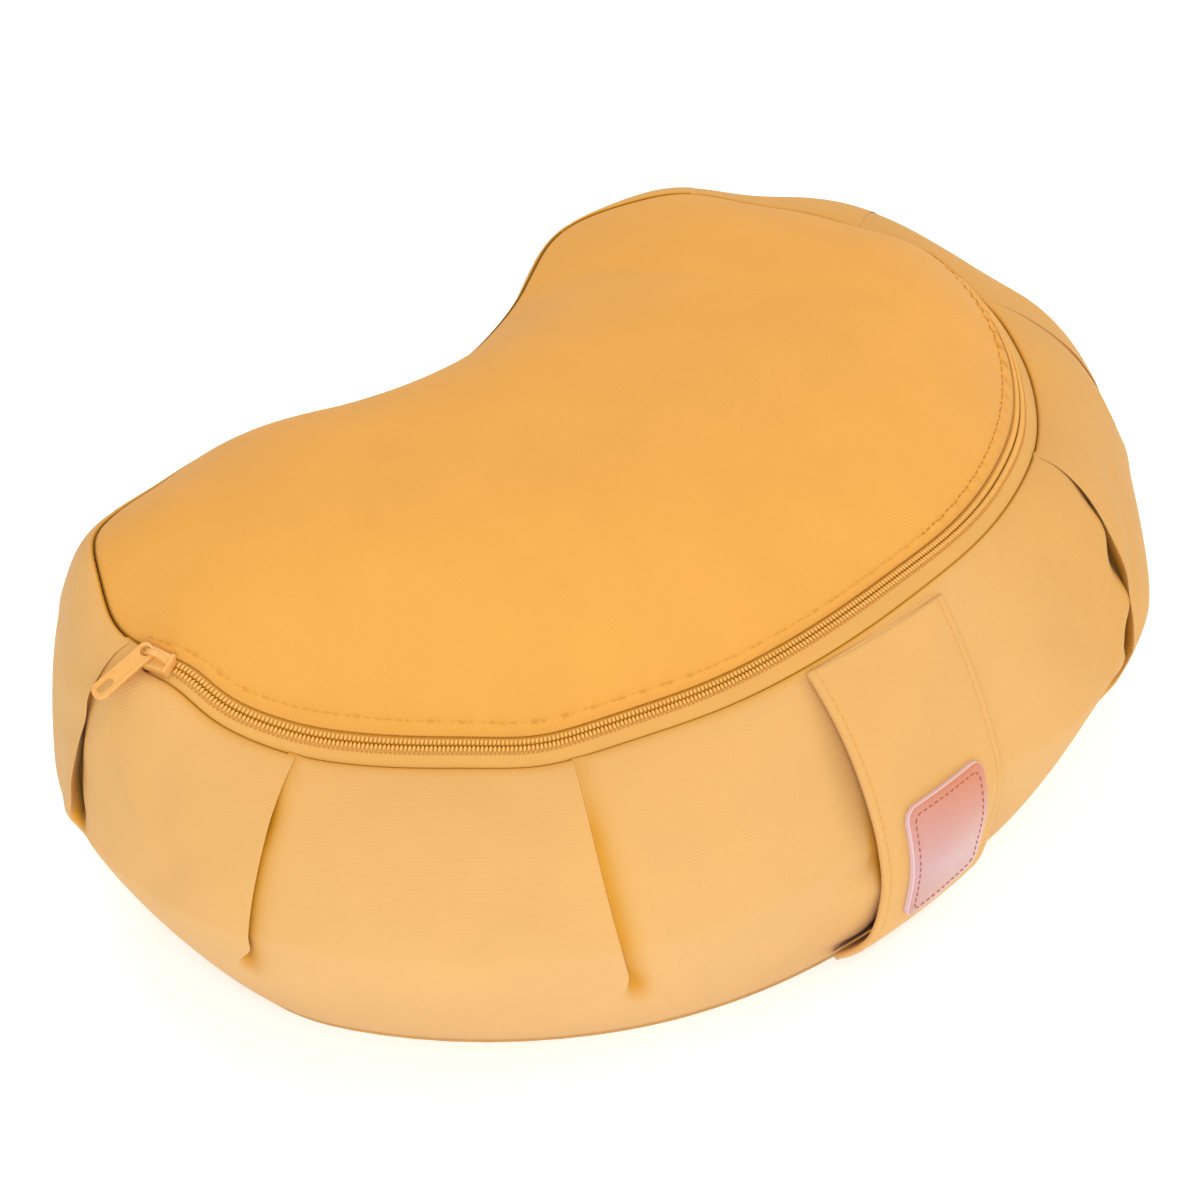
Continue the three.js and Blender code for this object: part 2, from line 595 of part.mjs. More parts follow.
function pullGeometry() {
  const half = PULL.width / 2;
  const far = PULL.length - half;
  const eyeRim = PULL.eye / 2 + PULL.rim;
  const shape = new THREE.Shape();
  shape.absarc(0, 0, eyeRim, Math.PI / 2, -Math.PI / 2, false);
  shape.lineTo(eyeRim + PULL.neck, -half);
  shape.absarc(far, 0, half, -Math.PI / 2, Math.PI / 2, false);
  shape.lineTo(eyeRim + PULL.neck, half);
  const eye = new THREE.Path().absarc(0, 0, PULL.eye / 2, 0, 2 * Math.PI, true);
  const slotRadius = PULL.slotWidth / 2;
  const slotEnd = PULL.length - PULL.slotEnd - slotRadius;
  const slot = new THREE.Path();
  slot.absarc(slotEnd, 0, slotRadius, -Math.PI / 2, Math.PI / 2, false);
  slot.absarc(slotEnd - PULL.slotLength + PULL.slotWidth, 0, slotRadius, Math.PI / 2, 1.5 * Math.PI, false);
  shape.holes.push(eye, slot);
  const pull = plate(shape, PULL.thickness);
  pull.translate(0, 0, -PULL.thickness / 2);
  return pull;
}

// The frame of the slider: on the tape, over the line where the coils meet, its nose towards the back.
function sliderFrame() {
  const at = (turn) => bandPoint(turn, SLIDER.across, 0);
  const origin = at(SLIDER.turn);
  const along = at(SLIDER.turn - 1).sub(at(SLIDER.turn + 2)).normalize();
  const outer = bandPoint(SLIDER.turn + 2, 8, 0).sub(bandPoint(SLIDER.turn + 2, 2, 0));
  const up = new THREE.Vector3().crossVectors(outer, along).normalize();
  if (up.z < 0) up.negate();
  const across = new THREE.Vector3().crossVectors(up, along).normalize();
  return { origin, basis: new THREE.Matrix4().makeBasis(along, across, up) };
}

// ---- The scene graph ----
const cushion = new THREE.Group();

function addPiece(name, geometry, color, roughness, metalness = 0) {
  const mesh = new THREE.Mesh(geometry, new THREE.MeshStandardMaterial({ color, roughness, metalness }));
  mesh.name = name;
  cushion.add(mesh);
  return mesh;
}

addPiece('cushion_body', bodyGeometry(), 0xf3bb78, 0.85);
addPiece('top_panel', topPanelGeometry(), 0xf1b05a, 0.85);
addPiece('bottom_panel', bottomPanelGeometry(), 0xf1b05a, 0.85);
addPiece('zip_tape_inner', innerTapeGeometry(), 0xf3bb78, 0.8);
addPiece('zip_tape_outer', outerTapeGeometry(), 0xf3bb78, 0.8);
addPiece('zip_coil_inner', coilGeometry(-1), 0xe9a23f, 0.5);
addPiece('zip_coil_outer', coilGeometry(1), 0xe9a23f, 0.5);
addPiece('carry_strap', strapGeometry(), 0xf1b670, 0.85);
addPiece('strap_patch', patchGeometry(), 0xe6a48f, 0.45);

const frame = sliderFrame();
const slider = addPiece('zip_slider', sliderGeometry(), 0xf0b468, 0.4);
slider.quaternion.setFromRotationMatrix(frame.basis);
slider.position.set(0, 0, SLIDER.rise).applyMatrix4(frame.basis).add(frame.origin);

const pull = addPiece('zip_pull', pullGeometry(), 0xf0b468, 0.4);
const legX = BRIDGE.length / 2 - BRIDGE.leg / 2;
const pullSeat = SLIDER.rise + SLIDER.thickness + BRIDGE.clear / 2;
pull.position.set(legX, 0, pullSeat).applyMatrix4(frame.basis).add(frame.origin);
const pullTurn = new THREE.Matrix4().makeRotationZ(Math.PI / 2 - PULL_SWING);
const pullTilt = new THREE.Matrix4().makeRotationY(PULL_FALL);
pull.quaternion.setFromRotationMatrix(frame.basis.clone().multiply(pullTurn).multiply(pullTilt));

export default cushion;
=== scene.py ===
# %% [markdown]
# # A crescent meditation cushion
# A cushion for sitting on the floor: a crescent-shaped cotton cover with a firm, loose filling. The
# side is one long band of cloth, gathered into the upper seam with knife pleats. A zip runs round the
# broad front between side and top, and a carrying strap with a small leather patch crosses the front.
#
# The CAD model is loaded first. It fixes every size and place; this file gives the same pieces their
# cloth, folds, teeth and stitches.

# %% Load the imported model
import math
from functools import partial

import bmesh
import bpy
import numpy as np
from mathutils import Matrix, Vector


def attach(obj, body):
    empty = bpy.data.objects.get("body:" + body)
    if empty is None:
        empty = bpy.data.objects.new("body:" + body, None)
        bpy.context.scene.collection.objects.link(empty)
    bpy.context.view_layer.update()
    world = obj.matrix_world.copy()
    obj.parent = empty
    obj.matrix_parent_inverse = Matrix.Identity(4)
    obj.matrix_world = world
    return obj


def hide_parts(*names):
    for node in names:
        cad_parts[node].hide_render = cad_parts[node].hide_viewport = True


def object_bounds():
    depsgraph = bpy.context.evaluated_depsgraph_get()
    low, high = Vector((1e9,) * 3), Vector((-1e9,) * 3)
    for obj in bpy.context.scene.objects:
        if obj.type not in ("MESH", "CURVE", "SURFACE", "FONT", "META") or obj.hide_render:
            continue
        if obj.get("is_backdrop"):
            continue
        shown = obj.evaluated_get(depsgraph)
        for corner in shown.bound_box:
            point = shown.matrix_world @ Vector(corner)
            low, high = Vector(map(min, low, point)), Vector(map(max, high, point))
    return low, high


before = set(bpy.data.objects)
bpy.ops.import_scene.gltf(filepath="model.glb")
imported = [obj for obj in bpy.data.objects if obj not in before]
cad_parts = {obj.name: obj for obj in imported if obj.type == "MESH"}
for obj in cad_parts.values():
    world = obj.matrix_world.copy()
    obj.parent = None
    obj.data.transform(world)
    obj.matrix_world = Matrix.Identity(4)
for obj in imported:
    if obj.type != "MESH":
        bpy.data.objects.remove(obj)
cad_low, cad_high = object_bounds()
print("CAD box, mm:", [round(1000 * v) for v in (*cad_low, *cad_high)])

# %% [markdown]
# ## The crescent's seams
# Every seam of the cushion runs round the same crescent, so the makers' marks are given as a "turn":
# 0 is the middle of the front, 90 the tip of one horn, 180 the middle of the notch and 270 the other
# horn. The outline is drawn from three tangent arcs on each side, as a pattern cutter would with a
# compass, and each seam is set in from it by a distance read from a short table. Lengths are in
# millimetres until a mesh is made.

# %% The crescent's sizes, in millimetres
MM = 0.001
FRONT_RADIUS, HORN_RADIUS, NOTCH_RADIUS = 233, 116, 90
FRONT_HALF_ANGLE = math.radians(53)
FRONT_Y, MIDDLE_X = -137, -2
CROWN = {"left": 158, "middle": 156, "right": 149, "roundness": 3, "ridge_y": 22}
WIDEST_UP, LOWER_WALL_ROUNDNESS = 64, 1.2
CLOTH, THIN_CLOTH, TAPE = 2.4, 2.0, 1.2  # thicknesses
GAP = 0.4  # between any two pieces
SEAM_STEP = 0.6  # the outer tape lies this far below the side band where it meets it
SEAM_LIFT = 1.5  # the filling holds the zip's seam this much higher than the plain sections
TAPE_DOWN = 0.9  # the tape lies this far below the hem's upper face at its folded edge
HEM_DEPTH = 7
HEM_BACK = 0.2  # the hem's folded edge, pulled back from the zip by the tension of its stitches
ZIP = {"start": 265.2, "end": 91, "left_closing": 3.2, "right_narrowing": 5, "right_closing": 7, "tape_beyond": 3.5}
print("cloth", CLOTH, "mm thick, pieces", GAP, "mm apart")

# %% [markdown]
# ## Sections round the crescent
# Ten sections, one every 36 degrees of turn, say where the seams lie. hem_in and hem_up: how far in from
# the outline the hem lies, and how high; band_out and band_drop: how far out and down from there the
# side's upper edge lies; bulge: how far the outline is pushed out; foot_in: how far in the foot's seam
# lies; shoulder: how square the wall is above its widest height. Trims follow, for where a sewn seam
# wanders off that smooth curve: within so many degrees of a turn, they are added.

# %% Sections round the crescent
SEAM_COLUMNS = ("hem_in", "hem_up", "band_out", "band_drop", "bulge", "foot_in", "shoulder")
SEAM_ROWS = [
    (43, 124, 12, 3, -3, 22, 1.2),
    (51, 122, 10, 4, 7, 35, 1.5),
    (42, 115, 8, 10, 3, 36, 1.9),
    (39, 122, 9, 8, 8, 42, 1.5),
    (30, 138, 12, 5, 3, 38, 2.3),
    (24, 126, 12, 5, -1, 36, 2.2),
    (28, 131, 12, 5, -10, 38, 2.3),
    (22, 135, 8, 3, -2, 46, 2.2),
    (46, 115, 8, 7, 6, 35, 1.9),
    (52, 115, 10, 5, 9, 31, 1.7),
]
SEAMS = {name: np.array([row[k] for row in SEAM_ROWS], float) for k, name in enumerate(SEAM_COLUMNS)}
TRIM_COLUMNS = ("turn", "reach", "hem_in", "hem_up", "bulge", "shoulder")
TRIM_ROWS = [
    (10, 12, 0.8, 0.9, 0, 0),
    (22, 7, 2.8, 0, 2.8, 0),
    (42, 9, 3.2, 0, 3.2, 0),
    (60, 12, 0.3, -1.9, 0, 0),
    (78, 9, 2.2, 2.3, 0, 0),
    (84, 9, 2.5, 0, 2.5, 0),
    (98, 7, -0.7, 2.1, 0, 0),
    (112, 8, 0.7, -1.2, 0, 0),
    (114, 10, 0, 0, 0, 1.3),
    (126, 8, 0, -2.2, 0, 0),
    (133, 7, 2.5, 0, 2.5, 0),
    (139, 7, -1.6, 1, 0, 0),
    (154, 10, -14, -4, 0, 0),
    (170, 22, 0, 0, 0, -1),
    (172, 11, -9, -4, 0, 0),
    (213, 15, -11, -5, 0, 0),
    (214, 24, 0, 0, 0, -0.9),
    (236, 9, -5, -1, 0, 0),
    (244, 7, -1.7, 2.8, 0, 0),
    (257, 6, -2.3, -2.6, 0, 0),
    (269, 5, 2, 2, 0, 0),
    (316, 7, -1.5, -1.3, 0, 0),
    (330, 8, 0.9, 0, 0, 0),
]
TRIMS = [dict(zip(TRIM_COLUMNS, row)) for row in TRIM_ROWS]


def turns_from(turn, centre):
    """Degrees of turn from a centre, the short way round."""
    return (turn - centre + 180) % 360 - 180


def seam_value(column, turn):
    """A column of the table at any turn, on a smooth closed curve through its ten rows, with its trims."""
    table = SEAMS[column]
    turn = np.asarray(turn, float)
    place = turn / 360 * len(table)
    index = np.floor(place).astype(int)
    f = place - index
    a, b, c, d = (table[(index + k) % len(table)] for k in (-1, 0, 1, 2))
    value = 0.5 * (2 * b + (c - a) * f + (2 * a - 5 * b + 4 * c - d) * f**2 + (3 * b - a - 3 * c + d) * f**3)
    for trim in TRIMS:
        if trim.get(column, 0):
            value = value + trim[column] * np.exp(-((turns_from(turn, trim["turn"]) / trim["reach"]) ** 2))
    return value


def smoothstep(low, high, value):
    t = np.clip((np.asarray(value, float) - low) / (high - low), 0, 1)
    return t * t * (3 - 2 * t)


print(len(SEAM_ROWS), "sections round the crescent, with", len(TRIMS), "trims between them")

# %% [markdown]
# ## The outline
# Three arcs that touch make each half: the broad front, a horn, and half of the notch. Their centres
# follow from the three radii, so the outline has no kink, and a turn is a share of its length.

# %% The outline
horn_x = (FRONT_RADIUS - HORN_RADIUS) * math.sin(FRONT_HALF_ANGLE)
horn_y = FRONT_Y + FRONT_RADIUS - (FRONT_RADIUS - HORN_RADIUS) * math.cos(FRONT_HALF_ANGLE)
notch_half_angle = math.asin(horn_x / (NOTCH_RADIUS + HORN_RADIUS))
notch_y = horn_y + (NOTCH_RADIUS + HORN_RADIUS) * math.cos(notch_half_angle)
front_length = FRONT_RADIUS * FRONT_HALF_ANGLE
horn_length = HORN_RADIUS * (math.pi + notch_half_angle - FRONT_HALF_ANGLE)
half_length = front_length + horn_length + NOTCH_RADIUS * notch_half_angle
MM_PER_TURN = half_length / 180
print(f"outline {2 * half_length:.0f} mm round, {MM_PER_TURN:.2f} mm to a degree of turn")


def outline(turn):
    """Point, inward direction and place along the crown's ridge (-1 to 1) at each turn."""
    turn = np.asarray(turn, float) % 360
    side = np.where(turn <= 180, 1.0, -1.0)
    run = np.minimum(turn, 360 - turn) * MM_PER_TURN
    front = run < front_length
    horn = (run >= front_length) & (run < front_length + horn_length)
    angle = np.where(front, run / FRONT_RADIUS, FRONT_HALF_ANGLE + (run - front_length) / HORN_RADIUS)
    angle = np.where(front | horn, angle, (half_length - run) / NOTCH_RADIUS)
    sine, cosine = np.sin(angle), np.cos(angle)
    centre_y = np.where(front, FRONT_Y + FRONT_RADIUS, np.where(horn, horn_y, notch_y))
    x = np.where(front, FRONT_RADIUS * sine, np.where(horn, horn_x + HORN_RADIUS * sine, NOTCH_RADIUS * sine))
    radius = np.where(front, FRONT_RADIUS, np.where(horn, HORN_RADIUS, NOTCH_RADIUS))
    along = np.where(front, angle / FRONT_HALF_ANGLE, np.where(horn, 1, angle / notch_half_angle))
    into = np.where(front | horn, -1, 1)
    point = np.stack([x * side + MIDDLE_X, centre_y - radius * cosine], -1)
    return point, np.stack([into * sine * side, -into * cosine], -1), along * side


# %% [markdown]
# ## From the outline to the seams
# The hem of the top, the zip's band and the upper edge of the side all run along the outline, each at
# its own height. The top rises from the hem to a ridge that follows the middle of the crescent.

# %% The seams
def seam_point(turn, inset, up):
    point, inward, _ = outline(turn)
    flat = point + inward * (inset - seam_value("bulge", turn))[..., None]
    return np.concatenate([flat, np.broadcast_to(up, flat.shape[:-1])[..., None]], -1)


def signed_turn(turn):
    turn = np.asarray(turn, float) % 360
    return np.where(turn > 180, turn - 360, turn)


def zip_share(turn, closes_from):
    """1 along the zip, 0 where top and side meet in a plain seam."""
    start = ZIP["start"] - 360
    opened = smoothstep(start - ZIP["left_closing"], start, signed_turn(turn))
    return opened * (1 - smoothstep(closes_from, ZIP["end"] + ZIP["right_closing"], signed_turn(turn)))


def band_open(turn):
    return zip_share(turn, ZIP["end"] - ZIP["right_narrowing"])


def tape_room(turn):
    return zip_share(turn, ZIP["end"] + ZIP["tape_beyond"])


def hem_edge(turn):
    return seam_point(turn, seam_value("hem_in", turn), seam_value("hem_up", turn))


def seam_in(turn):
    """How far in from the outline the side wall's upper edge lies."""
    return seam_value("hem_in", turn) - np.maximum(seam_value("band_out", turn) * band_open(turn), GAP)


def wall_top(turn):
    """The upper edge of the side wall."""
    up = seam_value("hem_up", turn) - (seam_value("band_drop", turn) - SEAM_LIFT) * band_open(turn)
    return seam_point(turn, seam_in(turn), up)


print(f"side wall {seam_in(np.arange(0, 360, 36.0)).mean():.0f} mm in from the outline at its upper edge")

# %% [markdown]
# The crown is drawn from the hem to the ridge: steep at the hem and flatter towards the middle, as a
# full cover is. A point on it can sink below the surface, which places the cloth's inner face too.

# %% The crown
def ridge_point(along):
    x = horn_x * along + MIDDLE_X
    y = CROWN["ridge_y"] + (horn_y - CROWN["ridge_y"]) * along**2
    tilt = (CROWN["right"] - CROWN["left"]) / 2
    bend = (CROWN["right"] + CROWN["left"]) / 2 - CROWN["middle"]
    return np.stack([x, y, CROWN["middle"] + tilt * along + bend * along**2], -1)


def crown_point(turn, share, sink=0.0):
    """The crowned top between the hem (share 0) and the ridge (share 1)."""
    hem, ridge = hem_edge(turn), ridge_point(outline(turn)[2])
    share = np.asarray(share, float)[..., None] if np.ndim(share) else share
    point = hem + (ridge - hem) * share
    rise = 1 - (1 - share) ** CROWN["roundness"]
    up = hem[..., 2:] + (ridge[..., 2:] - hem[..., 2:]) * rise
    point[..., 2] = up[..., 0] - sink
    return point


def crown_reach(turn):
    hem, ridge = hem_edge(turn), ridge_point(outline(turn)[2])
    return np.hypot(*(ridge - hem)[..., :2].T)


def crown_at(turn, distance, sink=0.0):
    return crown_point(turn, distance / crown_reach(turn), sink)


print(f"the ridge is {ridge_point(-1.0)[2]:.0f} mm up at its left end and {ridge_point(1.0)[2]:.0f} mm at its right")

# %% The zip's band
def band_width(turn):
    return np.linalg.norm(wall_top(turn) - hem_edge(turn), axis=-1)


def band_point(turn, across, sink=0.0):
    """A point on the zip tapes, some way down their slope from the hem."""
    hem, seam = hem_edge(turn), wall_top(turn)
    share = across / band_width(turn)
    point = hem + (seam - hem) * share[..., None]
    point[..., 2] -= TAPE_DOWN + (SEAM_STEP - TAPE_DOWN) * share + sink
    return point


print(f"the zip's band is {band_width(np.array([0.0]))[0]:.1f} mm wide at the middle of the front")

# %% [markdown]
# ## Colours and nodes
# Cloth colours are picked as sRGB hex values, the way a dyer's card gives them, and one function
# turns them into the linear values that the shader works in. A second one adds a node with its
# settings and links, so that each material below reads as a short list.

# %% Colours and nodes
def linear(hex_colour, alpha=1.0):
    parts = [int(hex_colour[k:k + 2], 16) / 255 for k in (1, 3, 5)]
    return (*(c / 12.92 if c <= 0.04045 else ((c + 0.055) / 1.055) ** 2.4 for c in parts), alpha)


def add_node(material, kind, settings=None, **links):
    """Adds a node. Settings are its properties and plain input values; links name an input and its source."""
    tree = material.node_tree
    node = tree.nodes.new(kind)
    for name, value in (settings or {}).items():
        if hasattr(node, name):
            setattr(node, name, value)
        else:
            node.inputs[name].default_value = value
    for name, source in links.items():
        key = int(name[1:]) if name[0] == "_" else name.replace("_", " ")
        tree.links.new(getattr(source, "outputs", [source])[0], node.inputs[key])  # a node gives its first output
    return node


def new_material(name, **sockets):
    material = bpy.data.materials.new(name)
    material.use_nodes = True
    shader = material.node_tree.nodes["Principled BSDF"]
    for key, value in sockets.items():
        shader.inputs[key.replace("_", " ")].default_value = value
    return material, shader


# %% [markdown]
# ## Woven cotton
# The cover is cotton canvas, piece-dyed: matt, with a fine plain weave. The weave is drawn from two
# crossing sets of waves, at the spacing of the threads, and it lifts the surface only a little. The
# threads of such cloth lie 0.5 mm apart; they are drawn a bit coarser, because finer ones would not
# show. Folds, seams and hollows get painted shade: a shade attribute on each mesh turns the cloth's
# colour to a deeper amber and then brown, for the light that bounces from cloth to cloth there.

# %% Woven cotton
THREAD = 1.1  # mm between the ribs that show
THREAD_LIFT = 0.15  # mm that they stand up
WAVE_SCALE = math.pi / 10  # the wave texture's scale that gives one wave a millimetre
FOLD_SHADE_AMBER, FOLD_SHADE_BROWN = "#C4860E", "#664604"  # painted shade: the colour painted in a shallow fold, and deep in a pleat


def cotton(name, colour, rib=0.5):
    """Cotton of one colour, with painted shade in amber and brown from the mesh's shade attribute; rib is how much the
    weft shows over the warp.
    """
    material, shader = new_material(
        name, Roughness=0.9, Sheen_Weight=0.1, Sheen_Roughness=0.5, Specular_IOR_Level=0.2)
    add = partial(add_node, material)
    cloth = add("ShaderNodeUVMap", {"uv_map": "cloth"})
    waves = {"Distortion": 1.1, "Detail": 2.0, "Detail Scale": 1.6, "Detail Roughness": 0.6}
    weft, warp = (
        add("ShaderNodeTexWave", {"bands_direction": way, "Scale": WAVE_SCALE / apart, **waves}, Vector=cloth)
        for way, apart in (("Y", THREAD), ("X", THREAD * 0.9)))
    threads = add(
        "ShaderNodeMix", {"data_type": "FLOAT", "Factor": rib}, _2=warp.outputs["Fac"], _3=weft.outputs["Fac"])
    slub = add("ShaderNodeTexNoise", {"Scale": 0.9, "Detail": 4.0, "Roughness": 0.7}, Vector=cloth)
    height = add("ShaderNodeMath", {"operation": "MULTIPLY_ADD", "Value_001": 0.8}, _0=slub, _2=threads)
    bump = add("ShaderNodeBump", {"Strength": 0.6, "Distance": THREAD_LIFT * MM}, Height=height)
    # painted shade: the mesh's shade attribute runs the colour from the cloth's own through amber to brown
    tuck = add("ShaderNodeAttribute", {"attribute_name": "tuck"})
    colour_node = add("ShaderNodeValToRGB", Fac=tuck.outputs["Fac"])
    steps = colour_node.color_ramp.elements
    steps[0].color, steps[1].color = linear(colour), linear(FOLD_SHADE_BROWN)
    steps.new(0.45).color = linear(FOLD_SHADE_AMBER)
    blotch = add("ShaderNodeTexNoise", {"Scale": 0.03, "Detail": 2.0}, Vector=cloth)
    patchy, fine = (
        add("ShaderNodeMapRange", dict(zip(("From Min", "From Max", "To Min", "To Max"), spans)), Value=source)
        for source, spans in ((blotch, (0.3, 0.7, 0.975, 1.02)), (height, (0.2, 1.6, 0.97, 1.025))))
    tone = add("ShaderNodeMath", {"operation": "MULTIPLY"}, _0=patchy, _1=fine)
    # the cloth's random tone, laid over the painted shade
    tone_and_painted_shade = add("ShaderNodeVectorMath", {"operation": "SCALE"}, _0=colour_node, Scale=tone)
    for output, socket in ((tone_and_painted_shade, "Base Color"), (bump, "Normal")):
        material.node_tree.links.new(output.outputs[0], shader.inputs[socket])
    return material


# painted light: the side and the top are the same cotton in two colours, the side paler where the light grazes it and
# the top deeper
SIDE_COTTON = cotton("woven cotton, side", "#D2A467", rib=0.75)
TOP_COTTON = cotton("woven cotton, top", "#D89D4B", rib=0.5)
print("cotton:", SIDE_COTTON.name, "and", TOP_COTTON.name)

# %% [markdown]
# ## Cloth from its own sections
# A sewn cushion's shape comes from its seams and the filling's push, so the cloth pieces are laid out
# ring by ring from the same sections as the CAD model, only finer, and closed at both ends. Each
# point keeps its place on the flat cloth in a UV map, in millimetres, which the weave follows.

# %% Cloth meshes
def new_piece(name, points, faces):
    """A smooth piece from points in mm and the faces between them."""
    mesh = bpy.data.meshes.new(name)
    mesh.from_pydata((points.reshape(-1, 3) * MM).tolist(), [], faces)
    mesh.polygons.foreach_set("use_smooth", np.ones(len(faces), bool))
    piece = bpy.data.objects.new(name, mesh)
    bpy.context.scene.collection.objects.link(piece)
    return piece


def point_of_corner(mesh):
    vertex = np.empty(len(mesh.loops), int)
    mesh.loops.foreach_get("vertex_index", vertex)
    return vertex


def cloth_mesh(name, rings, cloth, caps=True, tuck=None):
    """A piece from rings of points (rows, columns, 3), with its flat cloth's places as a UV map, in mm."""
    rows, columns = rings.shape[:2]
    row, column = np.meshgrid(np.arange(rows - 1), np.arange(columns), indexing="ij")
    after = (column + 1) % columns
    corners = ((row, column), (row, after), (row + 1, after), (row + 1, column))
    quads = np.stack([r * columns + c for r, c in corners], -1).reshape(-1, 4)
    faces = [tuple(quad) for quad in quads.tolist()]
    if caps:
        faces.append(tuple(range(columns))[::-1])
        faces.append(tuple(range((rows - 1) * columns, rows * columns)))
    piece = new_piece(name, rings, faces)
    mesh = piece.data
    flat = cloth.reshape(-1, 2)[point_of_corner(mesh)]
    flat_u, round_it = flat[:, 0].copy(), cloth[..., 0].max()
    of_quad = flat_u[: quads.size].reshape(-1, 4)
    closing = of_quad.max(1) - of_quad.min(1) > round_it / 2  # the faces that close the ring
    of_quad[closing] += np.where(of_quad[closing] < round_it / 2, round_it, 0)
    uv = mesh.uv_layers.new(name="cloth")
    uv.data.foreach_set("uv", np.stack([flat_u, flat[:, 1]], -1).astype(np.float32).ravel())
    if tuck is not None:
        mesh.attributes.new("tuck", "FLOAT", "POINT").data.foreach_set("value", tuck.astype(np.float32).ravel())
    face_outwards(piece)
    return piece


def face_outwards(piece):
    """Turns a closed piece's faces outwards, if the volume they enclose comes out negative."""
    work = bmesh.new()
    work.from_mesh(piece.data)
    if work.calc_volume(signed=True) < 0:
        bmesh.ops.reverse_faces(work, faces=work.faces)
        work.to_mesh(piece.data)
    work.free()


def finish_piece(piece, material, slot, *nodes):
    piece.data.materials.clear()
    piece.data.materials.append(material)
    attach(piece, "root")
    if nodes:
        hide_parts(*nodes)
    print(piece.name, len(piece.data.polygons), "faces")
    return piece


# %% [markdown]
# ## The knife pleats
# The side band is longer than the seam it is sewn into, and its spare length is laid over in knife
# pleats, whose folded edges all point to the middle of the front. A knife pleat is a flat Z of cloth:
# the panel laps over, turns back under itself, and turns again in the pocket. The same Z is drawn
# once as a curve across the pleat; each pleat opens it out with height, until it dies in the filling.
#
# The table's columns: seam, turn at the upper seam; foot, where its line runs to at the floor, and bend,
# how soon it gets there; dies_at, the height where it ends; lap, the side whose cloth lies on top, and
# lay, how far over, as a share; depth of the tuck; lip, how far the folded edge stands proud; pocket,
# how far its lower end gapes, and mouth, how far its upper end does; wave, how wavy the tucked cloth
# is; shut, the height above which it is pressed nearly flat.

# %% The pleats
PLEAT_COLUMNS = ("seam", "foot", "bend", "dies_at", "lap", "lay", "depth", "lip", "pocket", "mouth", "wave", "shut")
PLEATS = [dict(zip(PLEAT_COLUMNS, row)) for row in [
    (46.5, 28.6, 1.15, 40, 1, 1, 5.2, 1.5, 3.5, 0.4, 1.8, 103),
    (88, 76, 16, 66, 1, 0.6, 0.6, 0.1, 0, 0, 0, 140),
    (112, 108, 0.1, 88, 1, 1, 1.4, 0.2, 0, 0, 0, 140),
    (136, 134, 0.1, 92, 1, 1, 1.4, 0.2, 0, 0.6, 0, 140),
    (154, 154, 0.1, 96, 1, 1, 0.8, 0, 0, 0.6, 0, 140),
    (206, 206, 0.1, 96, -1, 1, 0.6, 0, 0, 0, 0, 140),
    (232, 231, 0.1, 96, -1, 0.6, 0.5, 0, 0, 0, 0, 140),
    (260, 261, 0.1, 60, -1, 0.9, 4.2, 1.5, 0.7, 0, 0.3, 103),
    (286.2, 283.3, 0.1, 40, -1, 0.9, 2.8, 0.2, 0, 1.2, 0, 140),
    (320, 328.3, -1.3, 30, -1, 0.5, 1.4, 0.1, 0.7, 0, 0, 140),
]]
SLIP_REACH = 24  # degrees of turn beside a pleat whose cloth goes along with its slant
# The Z of a pleat: where a point of the flat cloth (mm across) goes to when folded, and how far out
# it then lies, as a share of the depth.
Z_FOLD = np.array([
    (-22, -22, 0), (-12, -12.2, 0), (-8, -8.3, -0.03), (-6, -6.2, -0.09), (-4.5, -4.5, -0.18), (-3, -2.6, -0.34),
    (-1.5, -0.7, -0.54), (0, 1, -0.74), (1.5, 2, -0.78), (3, 1.4, -0.58), (4.6, -0.8, -0.26), (5.8, -2.6, -0.08),
    (6.5, -3, 0), (7.2, -2.5, 0.03), (9.8, 0.8, 0.04), (14, 7.6, 0.02), (22, 22, 0),
])


def z_fold(flat):
    """The smooth Z through the table: folded place minus flat place, and share of the depth."""
    knots = Z_FOLD[:, 0]
    found = []
    for values in (Z_FOLD[:, 1] - knots, Z_FOLD[:, 2]):
        slope = np.gradient(values, knots)
        k = np.clip(np.searchsorted(knots, flat) - 1, 0, len(knots) - 2)
        step = knots[k + 1] - knots[k]
        t = np.clip((flat - knots[k]) / step, 0, 1)
        h = values[k] * (1 + 2 * t) * (1 - t) ** 2 + values[k + 1] * t**2 * (3 - 2 * t)
        h += step * (slope[k] * t * (1 - t) ** 2 - slope[k + 1] * t**2 * (1 - t))
        found.append(np.where(abs(flat) < knots[-1], h, 0))
    return found


print("a pleat takes up", round(Z_FOLD[-1, 0] - Z_FOLD[0, 0]), "mm of cloth, with its sides")

# %% [markdown]
# The wall's mesh has its columns close together across each pleat, whose folds are small, and wide
# apart between them, where the cloth is plain.

# %% Columns round the side
def side_columns():
    """Turns for the side wall's columns: 3 mm apart, and 0.5 mm apart across each pleat."""
    fine = [p["seam"] + f * p["lap"] / MM_PER_TURN for p in PLEATS for f in np.arange(-16, 19.1, 0.5)]
    even = np.arange(0, 360, 0.9)
    even = even[(abs(turns_from(even, np.array([[p["seam"]] for p in PLEATS]))) > 5.4).all(0)]
    return np.unique(np.round(np.concatenate([fine, even, [ZIP["start"], 262]]) % 360, 4))


COLUMNS = side_columns()
COLUMN_TURN = signed_turn(COLUMNS)
print(len(PLEATS), "pleats,", len(COLUMNS), "columns round the side")

# %% [markdown]
# ## Drag lines
# The filling pulls the cloth between two points, and soft ridges and hollows run from one to the
# other. Sculpting would give them too, but a table keeps each one's place: turn and height of each
# end, half-width across, and how far it stands out (or in, below 0), in mm.

